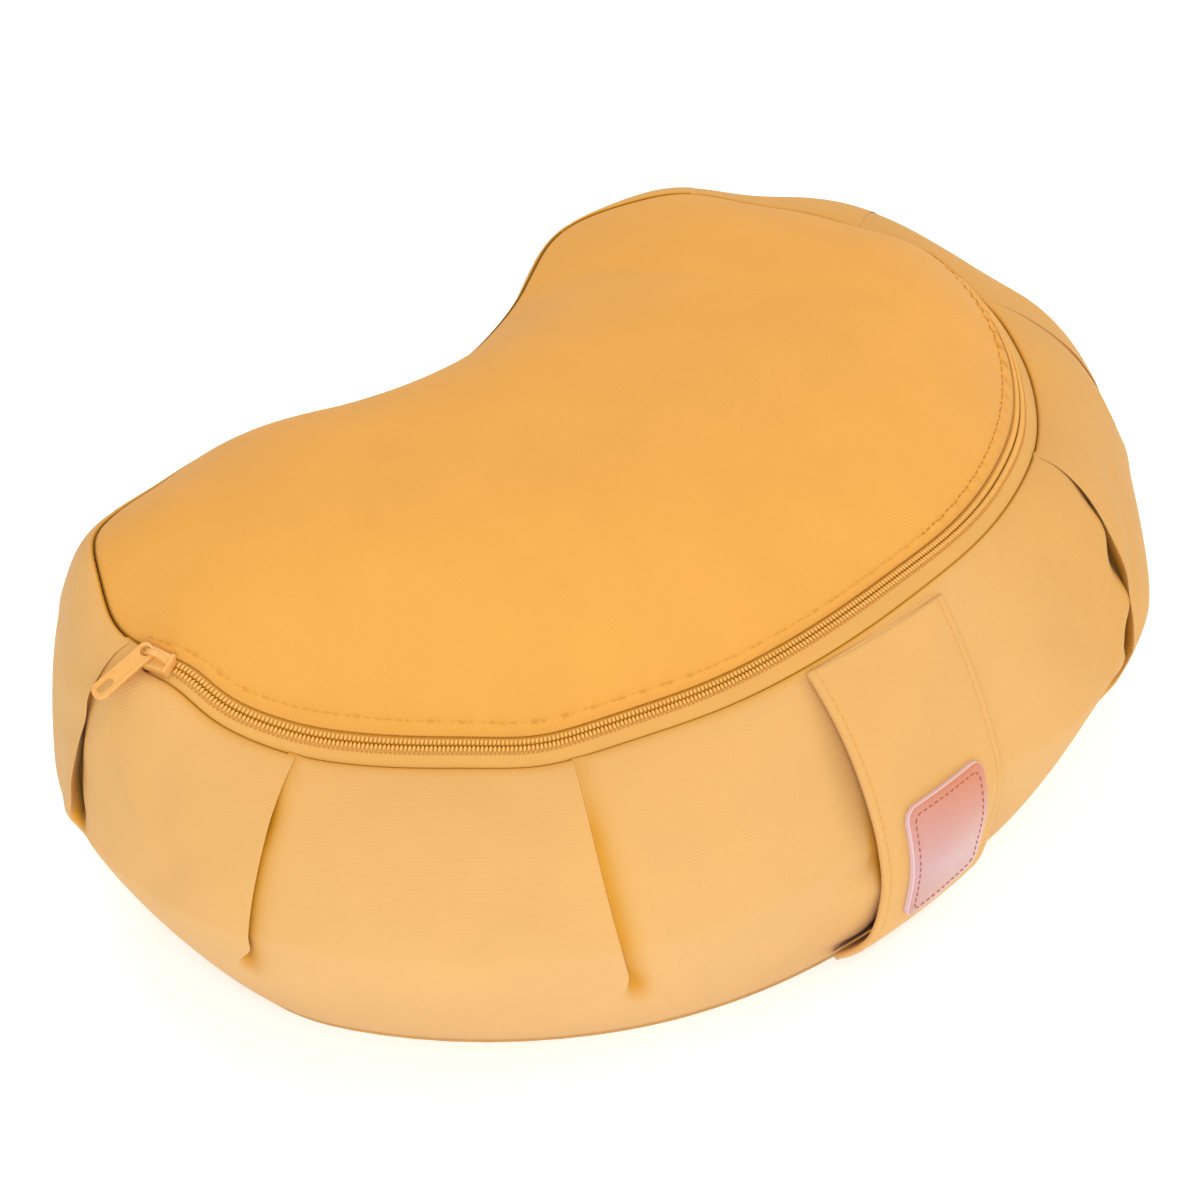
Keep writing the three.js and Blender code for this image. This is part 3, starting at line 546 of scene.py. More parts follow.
# %% Drag lines
DRAG_COLUMNS = ("turn", "up", "to_turn", "to_up", "width", "out")
DRAGS = [dict(zip(DRAG_COLUMNS, row)) for row in [
    (262, 122, 247, 96, 5, 0.9), (262, 118, 250, 82, 4, -0.7), (264, 110, 256, 66, 5, 0.8), (243, 118, 236, 84, 6, 0.7),
    (250, 126, 240, 104, 4, -0.6), (268, 108, 276, 74, 6, 1.2), (270, 106, 282, 88, 4, -0.8), (276, 104, 284, 60, 6, 1),
    (283, 100, 270, 52, 7, -1.2), (292, 98, 305, 62, 7, 1.1), (300, 100, 316, 78, 5, -0.8), (306, 96, 322, 50, 8, 1.3),
    (311, 92, 300, 44, 8, -1.1), (330, 96, 340, 60, 6, 0.7), (334, 62, 326, 26, 6, 0.7),
    (322.4, 38, 324, 10, 2.2, -0.7),
    (257, 94, 257, 56, 6, 1.6), (352, 56, 352, 8, 11, 6.5), (14, 104, 27, 64, 7, 0.9), (20, 100, 36, 74, 5, -0.8),
    (52, 96, 38, 58, 6, 1.1), (58, 98, 44, 72, 4, -0.9),
    (64, 96, 70, 58, 7, 0.9), (80, 104, 64, 72, 6, 0.9), (96, 108, 86, 80, 5, -0.8), (104, 112, 118, 92, 5, 0.8),
]]


def drag_out(column, up):
    """How far the drag lines push the cloth out at a column and height."""
    out = np.zeros_like(column)
    for d in DRAGS:
        run, drop = (d["to_turn"] - d["turn"]) * MM_PER_TURN, d["to_up"] - d["up"]
        length = math.hypot(run, drop)
        x, y = turns_from(column, d["turn"]) * MM_PER_TURN, up - d["up"]
        on, off = (x * run + y * drop) / length, (x * drop - y * run) / length
        ends = smoothstep(-6, 10, on) * (1 - smoothstep(length * 0.45, length + 8, on))
        out += d["out"] * ends * np.exp(-((off / d["width"]) ** 2))
    return out


print(len(DRAGS), "drag lines, up to", max(abs(d["out"]) for d in DRAGS), "mm")

# %% [markdown]
# ## The wall's shape
# Seen from the side, the wall is a squared-off curve from the foot seam out to its widest height and
# in again to the upper seam. Each pleat then moves the cloth along its Z and tucks it in by its depth.

# %% The wall's shape
def folded_wall(column, up, base):
    """Points of the side wall for columns at heights, pleats folded; and the painted shade of each, from how deep it is
    tucked.
    """
    top = wall_top(column)[..., 2]
    down = (top - up) / (top - base)
    turn = column.copy()
    outward, tuck = np.zeros_like(column), np.zeros_like(column)
    for p in PLEATS:
        off = turns_from(column, p["seam"])
        slip = (1 - np.exp(-p["bend"] * down)) / (1 - math.exp(-p["bend"]))
        near = np.where(abs(off) < SLIP_REACH, (1 + np.cos(np.pi * off / SLIP_REACH)) / 2, 0)
        turn += (p["foot"] - p["seam"]) * near * slip
        flat = off * p["lap"] * MM_PER_TURN
        moved, height = z_fold(flat)
        lying = smoothstep(p["dies_at"], p["dies_at"] + 18, up)
        standing = smoothstep(p["dies_at"] - 6, p["dies_at"] + 14, up) * (1 - 0.5 * smoothstep(top - 14, top - 2, up))
        standing = standing * (1 - 0.65 * smoothstep(p["shut"] - 8, p["shut"] + 8, up))
        pocket = p["pocket"] * np.exp(-((up - p["dies_at"] - 10) / 9) ** 2)
        mouth = p["mouth"] * np.exp(-(((top - up - 9) / 6) ** 2))
        depth = p["depth"] * standing + pocket + mouth
        turn += moved * lying * p["lay"] * p["lap"] / MM_PER_TURN
        outward += height * depth
        edge = np.where(flat > 6, np.exp(-np.clip(flat - 6, 0, 99) / 6), np.clip((flat - 3) / 3, 0, 1))
        outward += (p["lip"] * standing + mouth) * edge
        outward += p["wave"] * standing * np.sin(up / 3.1 + 1) * np.exp(-((flat + 3) / 4) ** 2)
        # painted shade in the pleat, deeper where its cloth is tucked deeper
        tuck = np.maximum(tuck, np.clip(-1.5 * height, 0, 1) * np.clip(depth / 4, 0, 1))
    outward += drag_out(column, up) * (1 - smoothstep(top - 14, top - 2, up)) * smoothstep(6, 24, up)
    near_seam = smoothstep(top - 25, top, up)  # cloth laid over by a fold still ends on the seam's own line
    rise_along = (wall_top(turn)[..., 2] - top) * near_seam
    top, up = top + rise_along, up + rise_along
    upper = up > WIDEST_UP
    power = np.where(upper, seam_value("shoulder", turn), LOWER_WALL_ROUNDNESS)
    share = np.where(upper, (up - WIDEST_UP) / (top - WIDEST_UP), (WIDEST_UP - up) / (WIDEST_UP - base))
    edge_in = np.where(upper, seam_in(turn), seam_value("foot_in", turn))
    inset = edge_in * (1 - (1 - np.minimum(share, 1) ** power) ** (1 / power))
    return seam_point(turn, inset - outward, up), tuck


WALL_ROWS = 86
base = THIN_CLOTH + GAP
rise = 1 - (1 - np.linspace(0, 1, WALL_ROWS)) ** 2  # closer together near the seam
wall, painted_shades = map(np.array, zip(*(
    folded_wall(COLUMNS, base + (wall_top(COLUMNS)[:, 2] - base) * share, base) for share in rise)))
print(wall.shape[0], "rows of", wall.shape[1], "points")

# %% [markdown]
# ## The filled side
# The side band and the filling behind it are one padded piece. Its rows lie closer together near the
# upper seam, where the cloth rolls down into the stitches. The pleats are sewn at fixed places, so they
# are drawn from the table above and not left to a simulation. Light hardly reaches into the seam, the
# pleats' tucks or behind the strap, and painted shade is laid on the cloth there.

# %% Where the side is shaded
EDGE_ROLL = 2.0  # mm over which the cloth rolls down into the upper seam
STRAP_PAINTED_SHADE, FLANK_PAINTED_SHADE, SEAM_PAINTED_SHADE, HIDDEN_PAINTED_SHADE = 0.5, 0.12, 0.75, 0.8  # how deep each painted shade goes
x, y, up = wall[..., 0], wall[..., 1], wall[..., 2]
strap_shade = -30 + 10 * (1 - smoothstep(25, 66, up))  # how far in its shade begins, at each height
behind_strap = smoothstep(strap_shade - 2.5, strap_shade + 0.5, x) * (1 - smoothstep(25, 29, x)) * (y < -90)
# painted shadow of the strap on the wall behind it
painted_shades = np.maximum(painted_shades, STRAP_PAINTED_SHADE * behind_strap * (1 - smoothstep(60, 90, up)))
row_steps = np.linalg.norm(np.diff(wall, axis=0, append=wall[-1:]), axis=-1)
from_seam = np.flip(np.cumsum(np.flip(row_steps, 0), 0), 0)
wall[..., 2] -= 0.5 * np.clip(1 - from_seam / EDGE_ROLL, 0, 1) ** 2
along_left = (1 - smoothstep(-14, 16, COLUMN_TURN)) * smoothstep(-97, -88, COLUMN_TURN)
# painted shade down into the upper seam, a little wider along the left
seam_shade = SEAM_PAINTED_SHADE * np.clip(1 - from_seam, 0, 1)
seam_shade += (0.08 + 0.22 * along_left) * np.clip(1 - from_seam / 5, 0, 1) ** 1.5
in_light = np.exp(-(((COLUMN_TURN - ZIP["end"]) / 6) ** 2))  # the right horn's seam opens towards the light
painted_shades = np.maximum(painted_shades, seam_shade * (1 - 0.85 * in_light))
right_flank_painted_shade = smoothstep(8, 40, COLUMN_TURN) * (1 - smoothstep(120, 170, COLUMN_TURN))
painted_shades = np.maximum(painted_shades, FLANK_PAINTED_SHADE * right_flank_painted_shade)  # painted shade: the cloth is painted a shade deeper past the strap, on the right flank
print(f"the side band is {from_seam[0].mean():.0f} mm wide")

# %% The filled side
ledge = (TAPE + GAP) * tape_room(COLUMNS)
seam_sink = ledge + (CLOTH + GAP - SEAM_STEP) * (1 - tape_room(COLUMNS))
floor_ring = wall[0] + (ridge_point(outline(COLUMNS)[2]) - wall[0]) * 0.5
floor_ring[:, 2] = base
hidden = [
    band_point(COLUMNS, band_width(COLUMNS) - 0.05, seam_sink + 0.4),
    crown_at(COLUMNS, 0, CLOTH + GAP + ledge + 0.2),
    crown_at(COLUMNS, HEM_DEPTH, CLOTH + GAP + ledge),
    crown_at(COLUMNS, HEM_DEPTH + 2, CLOTH + GAP),
    *(crown_point(COLUMNS, share, CLOTH + GAP) for share in (0.25, 0.45, 0.65, 0.84)),
]
rings = np.concatenate([floor_ring[None], wall, np.array(hidden)])
FLAT_FLOOR, FLAT_SEAM, FLAT_STEP = -60, 160, 4  # places on the flat cloth, in mm up it
all_round = np.ones(len(COLUMNS))
hidden_v = FLAT_SEAM + FLAT_STEP * np.arange(1, len(hidden) + 1)
cloth_v = np.concatenate([FLAT_FLOOR * all_round[None], FLAT_SEAM - from_seam, hidden_v[:, None] * all_round])
cloth_u = np.broadcast_to(COLUMNS * MM_PER_TURN, rings.shape[:2])
# painted shade on the hidden rows at the seam, lighter where the right horn's seam opens towards the light
hidden_painted_shade = np.tile(HIDDEN_PAINTED_SHADE - 0.7 * in_light, (len(hidden), 1))
painted_shade_all = np.concatenate([0 * all_round[None], painted_shades, hidden_painted_shade])
side = cloth_mesh("filled_side", rings, np.stack([cloth_u, cloth_v], -1), tuck=painted_shade_all)
finish_piece(side, SIDE_COTTON, "side_cloth", "cushion_body")

# %% [markdown]
# ## The top panel
# A crescent of the same cotton, stretched over the crown. Along the zip its edge is turned under and
# stitched down, which leaves a thin folded edge, a slightly raised hem and a row of small puckers at
# the stitches; everywhere else it runs plainly into the seam. The puckers come from two waves of
# different length, as a fed seam never puckers evenly.

# %% The hem
HEM_REACH = 21  # mm in from the folded edge, where the panel is plain again
FOLD_THICK = 0.5  # mm, the hem pressed thin at its folded edge
EDGE_ROWS = (
    0, 0.2, 0.5, 0.9, 1.4, 1.9, 2.3, 2.6, 2.9, 3.2, 3.5, 3.8, 4.1, 4.5, 4.9, 5.4, 6, 6.8, 8.2, 10.5, 14.5, HEM_REACH)


def on_right(turn):
    """0 on the left and in the middle, 1 past the strap, where the hem is sewn wider and puckers more."""
    return smoothstep(10, 60, signed_turn(turn))


def hem_stitch(turn):
    """How far in from the folded edge the hem is stitched, seen from above: less than along the slope."""
    return 2.6 + 1.6 * on_right(turn)


def hem_beat(turn):
    """Up and down between -1 and 1 every few millimetres of hem, unevenly, as a sewn hem puckers."""
    u = turn * MM_PER_TURN
    return np.sin(u / 1.8 + 2.1 * np.sin(u / 21)) * (0.7 + 0.3 * np.sin(u / 31))


def from_fold(turn, distance):
    """Distance from the hem's plain line, for a distance from its folded edge."""
    return distance + HEM_BACK * band_open(turn) * np.clip(1 - distance / HEM_REACH, 0, 1)


def hem_shape(turn, distance):
    """How far the panel's surface lies below the plain crown: rolled edge, stitch line, puckers."""
    hemmed, stitch = band_open(turn), hem_stitch(turn)
    roll = (0.45 + 0.6 * (1 - hemmed)) * np.clip(1 - distance / 1.6, 0, 1) ** 2
    groove = 0.4 * np.exp(-((distance - stitch) / 0.5) ** 2)
    swell = 0.45 * smoothstep(0, 0.8, distance) * (1 - smoothstep(stitch - 0.6, stitch + 1.2, distance))
    strength = (0.22 + 0.75 * on_right(turn)) * np.exp(-((distance - stitch * 0.8) / (stitch * 0.6)) ** 2)
    pucker = strength * hem_beat(turn) * smoothstep(0, 1, distance)
    return roll + hemmed * (groove - swell + pucker)


front_run = np.linspace(0, front_length, 141)
horn_run = front_length + np.linspace(0, horn_length, 181)[1:]
notch_run = half_length - (half_length - front_length - horn_length) * np.linspace(0, 1, 141)[:-1]
half_turns = np.sort(np.concatenate([front_run, horn_run, notch_run])) / MM_PER_TURN
even_turns = np.concatenate([half_turns, 360 - half_turns[-2:0:-1]])
print(len(even_turns), "columns round the top panel")

# %% The top panel
reach = crown_reach(even_turns)


def crown_rows(count, sink=0.0):
    """Rows of the panel from the end of its hem to the ridge."""
    hem_share = HEM_REACH / reach
    shares = np.linspace(0, 1, count)[1:]
    return [crown_point(even_turns, hem_share + (1 - hem_share) * share, sink) for share in shares]


upper = [crown_at(even_turns, from_fold(even_turns, d), hem_shape(even_turns, d)) for d in EDGE_ROWS]
upper += crown_rows(26)
thick_at = (
    (0.15, FOLD_THICK - 0.1), (0.8, FOLD_THICK), (2.2, 1.3), (4, 2.0), (6, CLOTH), (12, CLOTH), (HEM_REACH, CLOTH))
lower = [crown_at(even_turns, from_fold(even_turns, d), thick) for d, thick in thick_at]
lower += crown_rows(12, CLOTH)
top_rings = np.concatenate([np.array(lower)[::-1], np.array(upper)])

# painted shade: amber in the hem's puckers and along its stitches, deeper on the right, and dark on the folded edge and
# the underside
top_painted_shade = np.zeros(top_rings.shape[:2])
beat = np.clip(hem_beat(even_turns), 0, 1) ** 2
stitch = hem_stitch(even_turns)
for row, distance in enumerate(EDGE_ROWS, len(lower)):
    at_stitch = np.exp(-(((distance - stitch) / 0.9) ** 2)) * (0.04 + 0.1 * beat)
    in_hem = np.exp(-(((distance - stitch * 0.55) / 1.6) ** 2)) * (0.02 + 0.7 * on_right(even_turns)) * beat
    top_painted_shade[row] = (at_stitch + in_hem) * band_open(even_turns)
top_painted_shade[: len(lower)] = 0.7
top_painted_shade[len(lower)] = 0.5
top = cloth_mesh("top_panel_cloth", top_rings, top_rings[..., :2], caps=False, tuck=top_painted_shade)


def weld(piece, distance):
    """Merges points that fall together, such as where rings close on a ridge line."""
    work = bmesh.new()
    work.from_mesh(piece.data)
    bmesh.ops.remove_doubles(work, verts=work.verts, dist=distance)
    bmesh.ops.dissolve_degenerate(work, edges=work.edges, dist=1e-6)
    work.to_mesh(piece.data)
    work.free()


weld(top, 0.00005)
face_outwards(top)
finish_piece(top, TOP_COTTON, "top_cloth", "top_panel")

# %% [markdown]
# ## The bottom panel
# The underside is a second crescent of the same cotton, sewn flat to the foot of the side band. It is
# cut from the foot's own line, so the two meet all round.

# %% The bottom panel
foot = wall[0, ::3].copy()
centre = ridge_point(outline(COLUMNS[::3])[2])
# how far in from the foot, as a share, and how high
BOTTOM_SECTION = (
    (0.9, 1.6), (0.5, 1.6), (0.1, 1.6), (0.02, 2.0), (0.0, 1.2), (0.012, 0.3), (0.05, 0.0), (0.5, 0.0), (0.9, 0.0))
bottom_rings = np.array([foot + (centre - foot) * share for share, _ in BOTTOM_SECTION])
bottom_rings[..., 2] = np.array([height for _, height in BOTTOM_SECTION])[:, None]
bottom = cloth_mesh("bottom_panel_cloth", bottom_rings, bottom_rings[..., :2])
finish_piece(bottom, SIDE_COTTON, "top_cloth", "bottom_panel")

# %% [markdown]
# ## Stitches, teeth and other things in rows
# A sewing machine's stitch and a zip's tooth are small shapes repeated hundreds of times. Each is
# modelled once, from a sphere that is squeezed to its size, and then laid out along a seam: every
# copy is turned to the seam's own direction and slope.

# %% Rows of small shapes
def unit(vectors):
    return vectors / np.linalg.norm(vectors, axis=-1, keepdims=True)


def run_along(path):
    """The length from the start of a path to each of its points."""
    return np.concatenate([[0], np.cumsum(np.linalg.norm(np.diff(path, axis=0), axis=1))])


def nearest_on(path, points):
    return np.array([np.argmin(((path - p) ** 2).sum(1)) for p in points])


def bead(name, length, width, height, segments=8, rings=6):
    """A rounded bar, along X, from a squeezed sphere."""
    bpy.ops.object.select_all(action="DESELECT")
    bpy.ops.mesh.primitive_uv_sphere_add(segments=segments, ring_count=rings, radius=0.5, rotation=(0, math.pi / 2, 0))
    model = bpy.context.object
    model.name = name
    bpy.ops.object.transform_apply(rotation=True)
    bpy.ops.object.mode_set(mode="EDIT")
    bpy.ops.transform.resize(value=(length, width, height))
    bpy.ops.object.mode_set(mode="OBJECT")
    return model


def in_rows(name, model, at, along, up, material, slot, *nodes):
    """Copies of a model in mm, one at each point, its X turned along and its Z turned up."""
    along = unit(along)
    across = unit(np.cross(up, along))
    axes = np.stack([along, across, np.cross(along, across)], 1)
    points = np.array([v.co for v in model.data.vertices])
    placed = at[:, None] + np.einsum("pk,nkd->npd", points, axes)
    faces = [tuple(f.vertices) for f in model.data.polygons]
    every = [tuple(v + n * len(points) for v in f) for n in range(len(at)) for f in faces]
    piece = new_piece(name, placed, every)
    bpy.data.objects.remove(model)
    return finish_piece(piece, material, slot, *nodes)


def spaced(path, pitch, start=0.0):
    """Points every pitch mm along a path of points, with the path's direction there."""
    run = run_along(path)
    at = np.arange(start, run[-1], pitch)
    point, ahead, behind = (
        np.stack([np.interp(at + step, run, path[:, k]) for k in range(3)], -1) for step in (0, 0.5, -0.5))
    return point, ahead - behind


def slope_up(path_a, path_b, points, path):
    """The direction square to a sloping band, at points along a path on it."""
    nearest = nearest_on(path, points)
    up = unit(np.cross(np.gradient(path, axis=0)[nearest], (path_b - path_a)[nearest]))
    return np.where(up[:, 2:] < 0, -up, up)


# %% [markdown]
# ## Thread, nylon, painted metal and coated leather
# The thread is polyester, coloured darker than the cloth in most rows, so the stitching shows as a fine dashed line; on
# the hem's right it is painted darker still, as painted shade where the stitches sink in.
# The zip's teeth are dyed nylon coil: satin, a little see-through at their edges. The slider is die-cast
# zinc painted to match. The patch is split leather with a coated, satin face, and its cut edge shows the
# pale core of the hide.

# %% Thread, nylon, painted metal and leather
def plain(name, colour, roughness, grain=0.0, grain_size=0.3, **sockets):
    """A dyed or painted finish with a fine grain: grain is its depth in mm, grain_size its width in mm."""
    material, shader = new_material(name, Roughness=roughness, **sockets)
    add = partial(add_node, material)
    where = add("ShaderNodeTexCoord").outputs["Object"]
    fine = add("ShaderNodeTexNoise", {"Scale": 1 / (grain_size * MM), "Detail": 3.0}, Vector=where)
    tone = add("ShaderNodeMapRange", {"From Min": 0.3, "From Max": 0.7, "To Min": 0.94, "To Max": 1.05}, Value=fine)
    colour_node = add("ShaderNodeVectorMath", {"operation": "SCALE"}, Scale=tone)
    colour_node.inputs[0].default_value = linear(colour)[:3]
    bump = add("ShaderNodeBump", {"Strength": 0.5, "Distance": grain * MM}, Height=fine)
    for output, socket in ((colour_node, "Base Color"), (bump, "Normal")):
        material.node_tree.links.new(output.outputs[0], shader.inputs[socket])
    return material


THREAD_DARK = plain("polyester thread, dark amber", "#B2711A", 0.7, grain=0.05)
THREAD_AMBER = plain("polyester thread, amber", "#C2842F", 0.7, grain=0.05)
THREAD_CLOTH = plain("polyester thread, cloth colour", "#D09540", 0.7, grain=0.05)
THREAD_BROWN = plain("polyester thread, russet", "#A8543C", 0.6, grain=0.05)
NYLON = plain("dyed nylon coil", "#DFA855", 0.42, grain=0.02, grain_size=0.6)
ZINC_PAINT = plain("painted zinc casting", "#DCA45A", 0.32, grain=0.03, grain_size=0.8, Coat_Weight=0.2)
TAPE_WEAVE = cotton("woven zip tape", "#D4A25B", rib=0.3)
STRAP_COTTON = cotton("woven cotton, strap", "#D2A365", rib=0.75)
print(len(bpy.data.materials), "materials in all")

# %% [markdown]
# ## The zip
# A coil zip: two narrow woven tapes with a nylon coil sewn along the facing edges. The tapes' outer
# edges run under the side band and under the hem of the top panel. They are swept as flat strips
# along the seam, and the teeth, stitches and slider are set on them.

# %% The zip tapes
ZIP_FROM, ZIP_TO = ZIP["start"] - 360, ZIP["end"]
zip_turns = np.linspace(ZIP_FROM, ZIP_TO, 420)
tape_turns = np.linspace(ZIP_FROM, ZIP_TO + 4, 430)


def coil_middle(turn):
    """How far from the hem's plain line the two rows of teeth meet; less where the tapes narrow."""
    return np.minimum(2.6, 0.42 * band_width(turn))


def zip_strip(name, inner_of, outer_of, shares, edge_dip=0.0):
    """A flat strip of tape from inner to outer mm across, its outer edge dipping into the seam."""
    inner, outer = inner_of(tape_turns), outer_of(tape_turns)
    rows = []
    for share in shares:
        across = inner + (outer - inner) * share
        dip = edge_dip * np.clip(1 - (outer - across) / 2.2, 0, 1) ** 2
        tucked_in = TAPE_DOWN + (CLOTH + GAP - TAPE_DOWN) * smoothstep(1, 5, -across)
        under_hem = crown_at(tape_turns, np.maximum(-across, 0), tucked_in)
        rows.append(np.where(across[:, None] < 0, under_hem, band_point(tape_turns, across, dip)))
    upper = np.array(rows)
    lower = upper[::-1] - np.array([0, 0, TAPE])
    section = np.concatenate([upper, lower]).transpose(1, 0, 2)
    stations = np.concatenate([shares, shares[::-1]])[None]
    cloth = np.broadcast_arrays(tape_turns[:, None] * MM_PER_TURN, stations * (outer - inner).mean())
    width = band_width(tape_turns)[:, None]
    across = inner[:, None] + (outer - inner)[:, None] * stations
    # painted shade: dark under the hem's edge, at the seam and along the coil's middle
    shade = 0.45 * (1 - smoothstep(-HEM_BACK, 0.4 - HEM_BACK, across))
    shade += 0.5 * (1 - smoothstep(0.1, 0.9, width - across))
    shade += 0.9 * np.exp(-(((across - coil_middle(tape_turns)[:, None]) / 0.8) ** 2))
    return cloth_mesh(name, section, np.stack(cloth, -1), tuck=shade * np.clip((width - 4) / 5, 0.1, 1))


# Where the points lie across each tape, as shares of its width: closer together at its shaded edges.
INNER_SHARES = np.array([0, 0.3, 0.5, 0.57, 0.6, 0.64, 0.69, 0.75, 0.81, 0.87, 0.91, 0.95, 1])
OUTER_SHARES = np.array([0, 0.04, 0.08, 0.13, 0.2, 0.35, 0.55, 0.74, 0.84, 0.9, 0.95, 1])
UNDER_HEM, COIL_GAP, SEAM_GAP = 6.4, 0.15, 0.3
tape_inner = zip_strip(
    "zip_tape_inner_weave", lambda t: np.full_like(t, -UNDER_HEM), lambda t: coil_middle(t) - COIL_GAP, INNER_SHARES)
finish_piece(tape_inner, TAPE_WEAVE, "zip_tape", "zip_tape_inner")
tape_outer = zip_strip(
    "zip_tape_outer_weave", lambda t: coil_middle(t) + COIL_GAP, lambda t: band_width(t) - SEAM_GAP, OUTER_SHARES,
    edge_dip=0.4)
finish_piece(tape_outer, TAPE_WEAVE, "zip_tape", "zip_tape_outer")

# %% [markdown]
# ## The teeth
# A coil's tooth shows as a short rounded bar, leaning a little along the zip. The two rows are half a
# pitch apart, so that each tooth sits between two of the other row. One tooth is modelled and copied.

# %% The teeth
TOOTH = {"pitch": 1.34, "size": (2.15, 1.22, 1.1), "from_middle": 1.2, "raised": 0.55, "lean": 0.12}
COIL_FROM = 267.6 - 360
coil_turns = np.linspace(COIL_FROM, ZIP_TO + 1.5, 900)
for name, side_of, start, node in (
        ("zip_teeth_inner", -1, 0.0, "zip_coil_inner"), ("zip_teeth_outer", 1, 0.5, "zip_coil_outer")):
    across = coil_middle(coil_turns) + side_of * TOOTH["from_middle"]
    path = band_point(coil_turns, across, -TOOTH["raised"])
    at, along = spaced(path, TOOTH["pitch"], start * TOOTH["pitch"])
    up = slope_up(band_point(coil_turns, across - 1), band_point(coil_turns, across + 1), at, path)
    slant = unit(np.cross(up, along)) + TOOTH["lean"] * unit(along)
    in_rows(name, bead(name, *TOOTH["size"]), at, slant, up, NYLON, "zip_teeth", node)

# %% [markdown]
# ## The stitching
# Lockstitch rows: one holds the hem, one holds the tape's edge next to the teeth, and one runs just
# inside the upper seam. The hem's stitches are painted darker on the right, as painted shade where they
# sink into the cloth, so that row is made in two parts.

# %% The stitching
def stitch_row(name, path, lifted, pitch, length, width, material, slot, band=None):
    """One row of machine stitches along a path of points in mm; band gives the slope it lies on."""
    at, along = spaced(path, pitch)
    up = slope_up(*band, at, path) if band is not None else np.broadcast_to((0.0, 0.0, 1.0), at.shape)
    return in_rows(name, bead(name, length, width, 0.5), at + up * lifted, along, up, material, slot)


def along_band(across, sink=0.0, turns=zip_turns):
    return band_point(turns, np.full_like(turns, across), sink)


# painted shade: the hem's right-hand stitches in the dark thread, the left-hand ones in the cloth's colour
HEM_THREADS = (
    ("hem_stitches_left", ZIP_FROM - 3, 18, THREAD_CLOTH), ("hem_stitches_right", 18, ZIP_TO + 5, THREAD_DARK))
for name, first, last, thread in HEM_THREADS:
    hem_turns = np.linspace(first, last, 500)
    inset = hem_stitch(hem_turns)
    place = from_fold(hem_turns, inset)
    hem_band = (crown_at(hem_turns, place - 1), crown_at(hem_turns, place + 1))
    hem_path = crown_at(hem_turns, place, hem_shape(hem_turns, inset))
    stitch_row(name, hem_path, 0.05, 3.3, 2.4, 0.5, thread, "top_cloth", hem_band)
tape_band = (along_band(4.6), along_band(5.8))
stitch_row("tape_stitches", along_band(5.2), 0.02, 1.5, 1.0, 0.6, THREAD_AMBER, "zip_tape", tape_band)
seam_turns = np.linspace(ZIP_FROM - 6, 360 + ZIP_FROM - 6.5, 1500)
seam_path = wall_top(seam_turns) - np.array([0, 0, 1.6])
stitch_row("seam_stitches", seam_path, 0.0, 2.9, 2.2, 0.6, THREAD_DARK, "side_cloth")

# %% [markdown]
# ## The carrying strap and its patch
# The strap is the same cotton, cut double width and folded to a band, with a row of stitches along each
# edge. It is sewn into the upper seam and into the bottom seam, lies on the shoulder of the cushion
# and stands off the wall below it, so a hand can pass behind.

# %% The strap's own line
STRAP_WIDTH, STRAP_WRAP_RADIUS = 62, 310
STRAP_EASE = 5.0  # mm along the strap over which its bends are eased
# up, forward of the inner face at its middle, and how far the face leans back to the right across its width
STRAP_PATH = np.array([
    (120.8, 104.1, 0), (116, 109.3, 0.03), (107, 117.3, 0.07), (96, 124.8, 0.095), (83, 131.6, 0.1), (71, 136.6, 0.095),
    (64, 138.2, 0.09), (57, 138.9, 0.13), (45, 137.1, 0.16), (35, 135.3, 0.155), (26, 131.6, 0.115), (18, 125.6, 0.065),
    (10, 117.4, 0.035), (5, 114.6, 0.03),
])
strap_run = run_along(STRAP_PATH[:, :2])
strap_length = strap_run[-1]
half = STRAP_WIDTH / 2


def path_at(run, column):
    return np.interp(run, strap_run, STRAP_PATH[:, column])


def strap_line(run):
    """Height, forward reach and twist of the strap's inner face, and its outward direction, along its length."""
    run = np.asarray(run, float)
    up, forward, twist = (
        np.mean([path_at(run + k * STRAP_EASE, c) for k in (-1, -0.5, 0, 0.5, 1)], 0) for c in (0, 1, 2))
    drop, ahead = (path_at(run + STRAP_EASE, c) - path_at(run - STRAP_EASE, c) for c in (0, 1))
    size = np.hypot(drop, ahead)
    return up, forward, twist, -drop / size, ahead / size


def on_strap(across, run, out):
    """A point on the strap: mm across from its middle, mm along it from the top, mm out from its inner face."""
    up, forward, twist, out_forward, out_up = strap_line(run)
    left = np.clip(-across / half, 0, 1)
    held = smoothstep(20, 40, up) * (1 - smoothstep(60, 84, up))  # where the filling pulls its left edge in
    rounded = 1 - smoothstep(4, 17, up)  # its lower left corner is trimmed round
    across = across * (1 - left * (0.09 * held + 0.2 * rounded))
    y = -forward + across**2 / (2 * STRAP_WRAP_RADIUS) + across * twist + 3.0 * left**2 * held
    z = up + out * out_up - 2.4 * left**2 * held
    return np.stack([across + MIDDLE_X + 0 * up, y - out * out_forward, z], -1)


print(f"the strap is {strap_length:.0f} mm long")

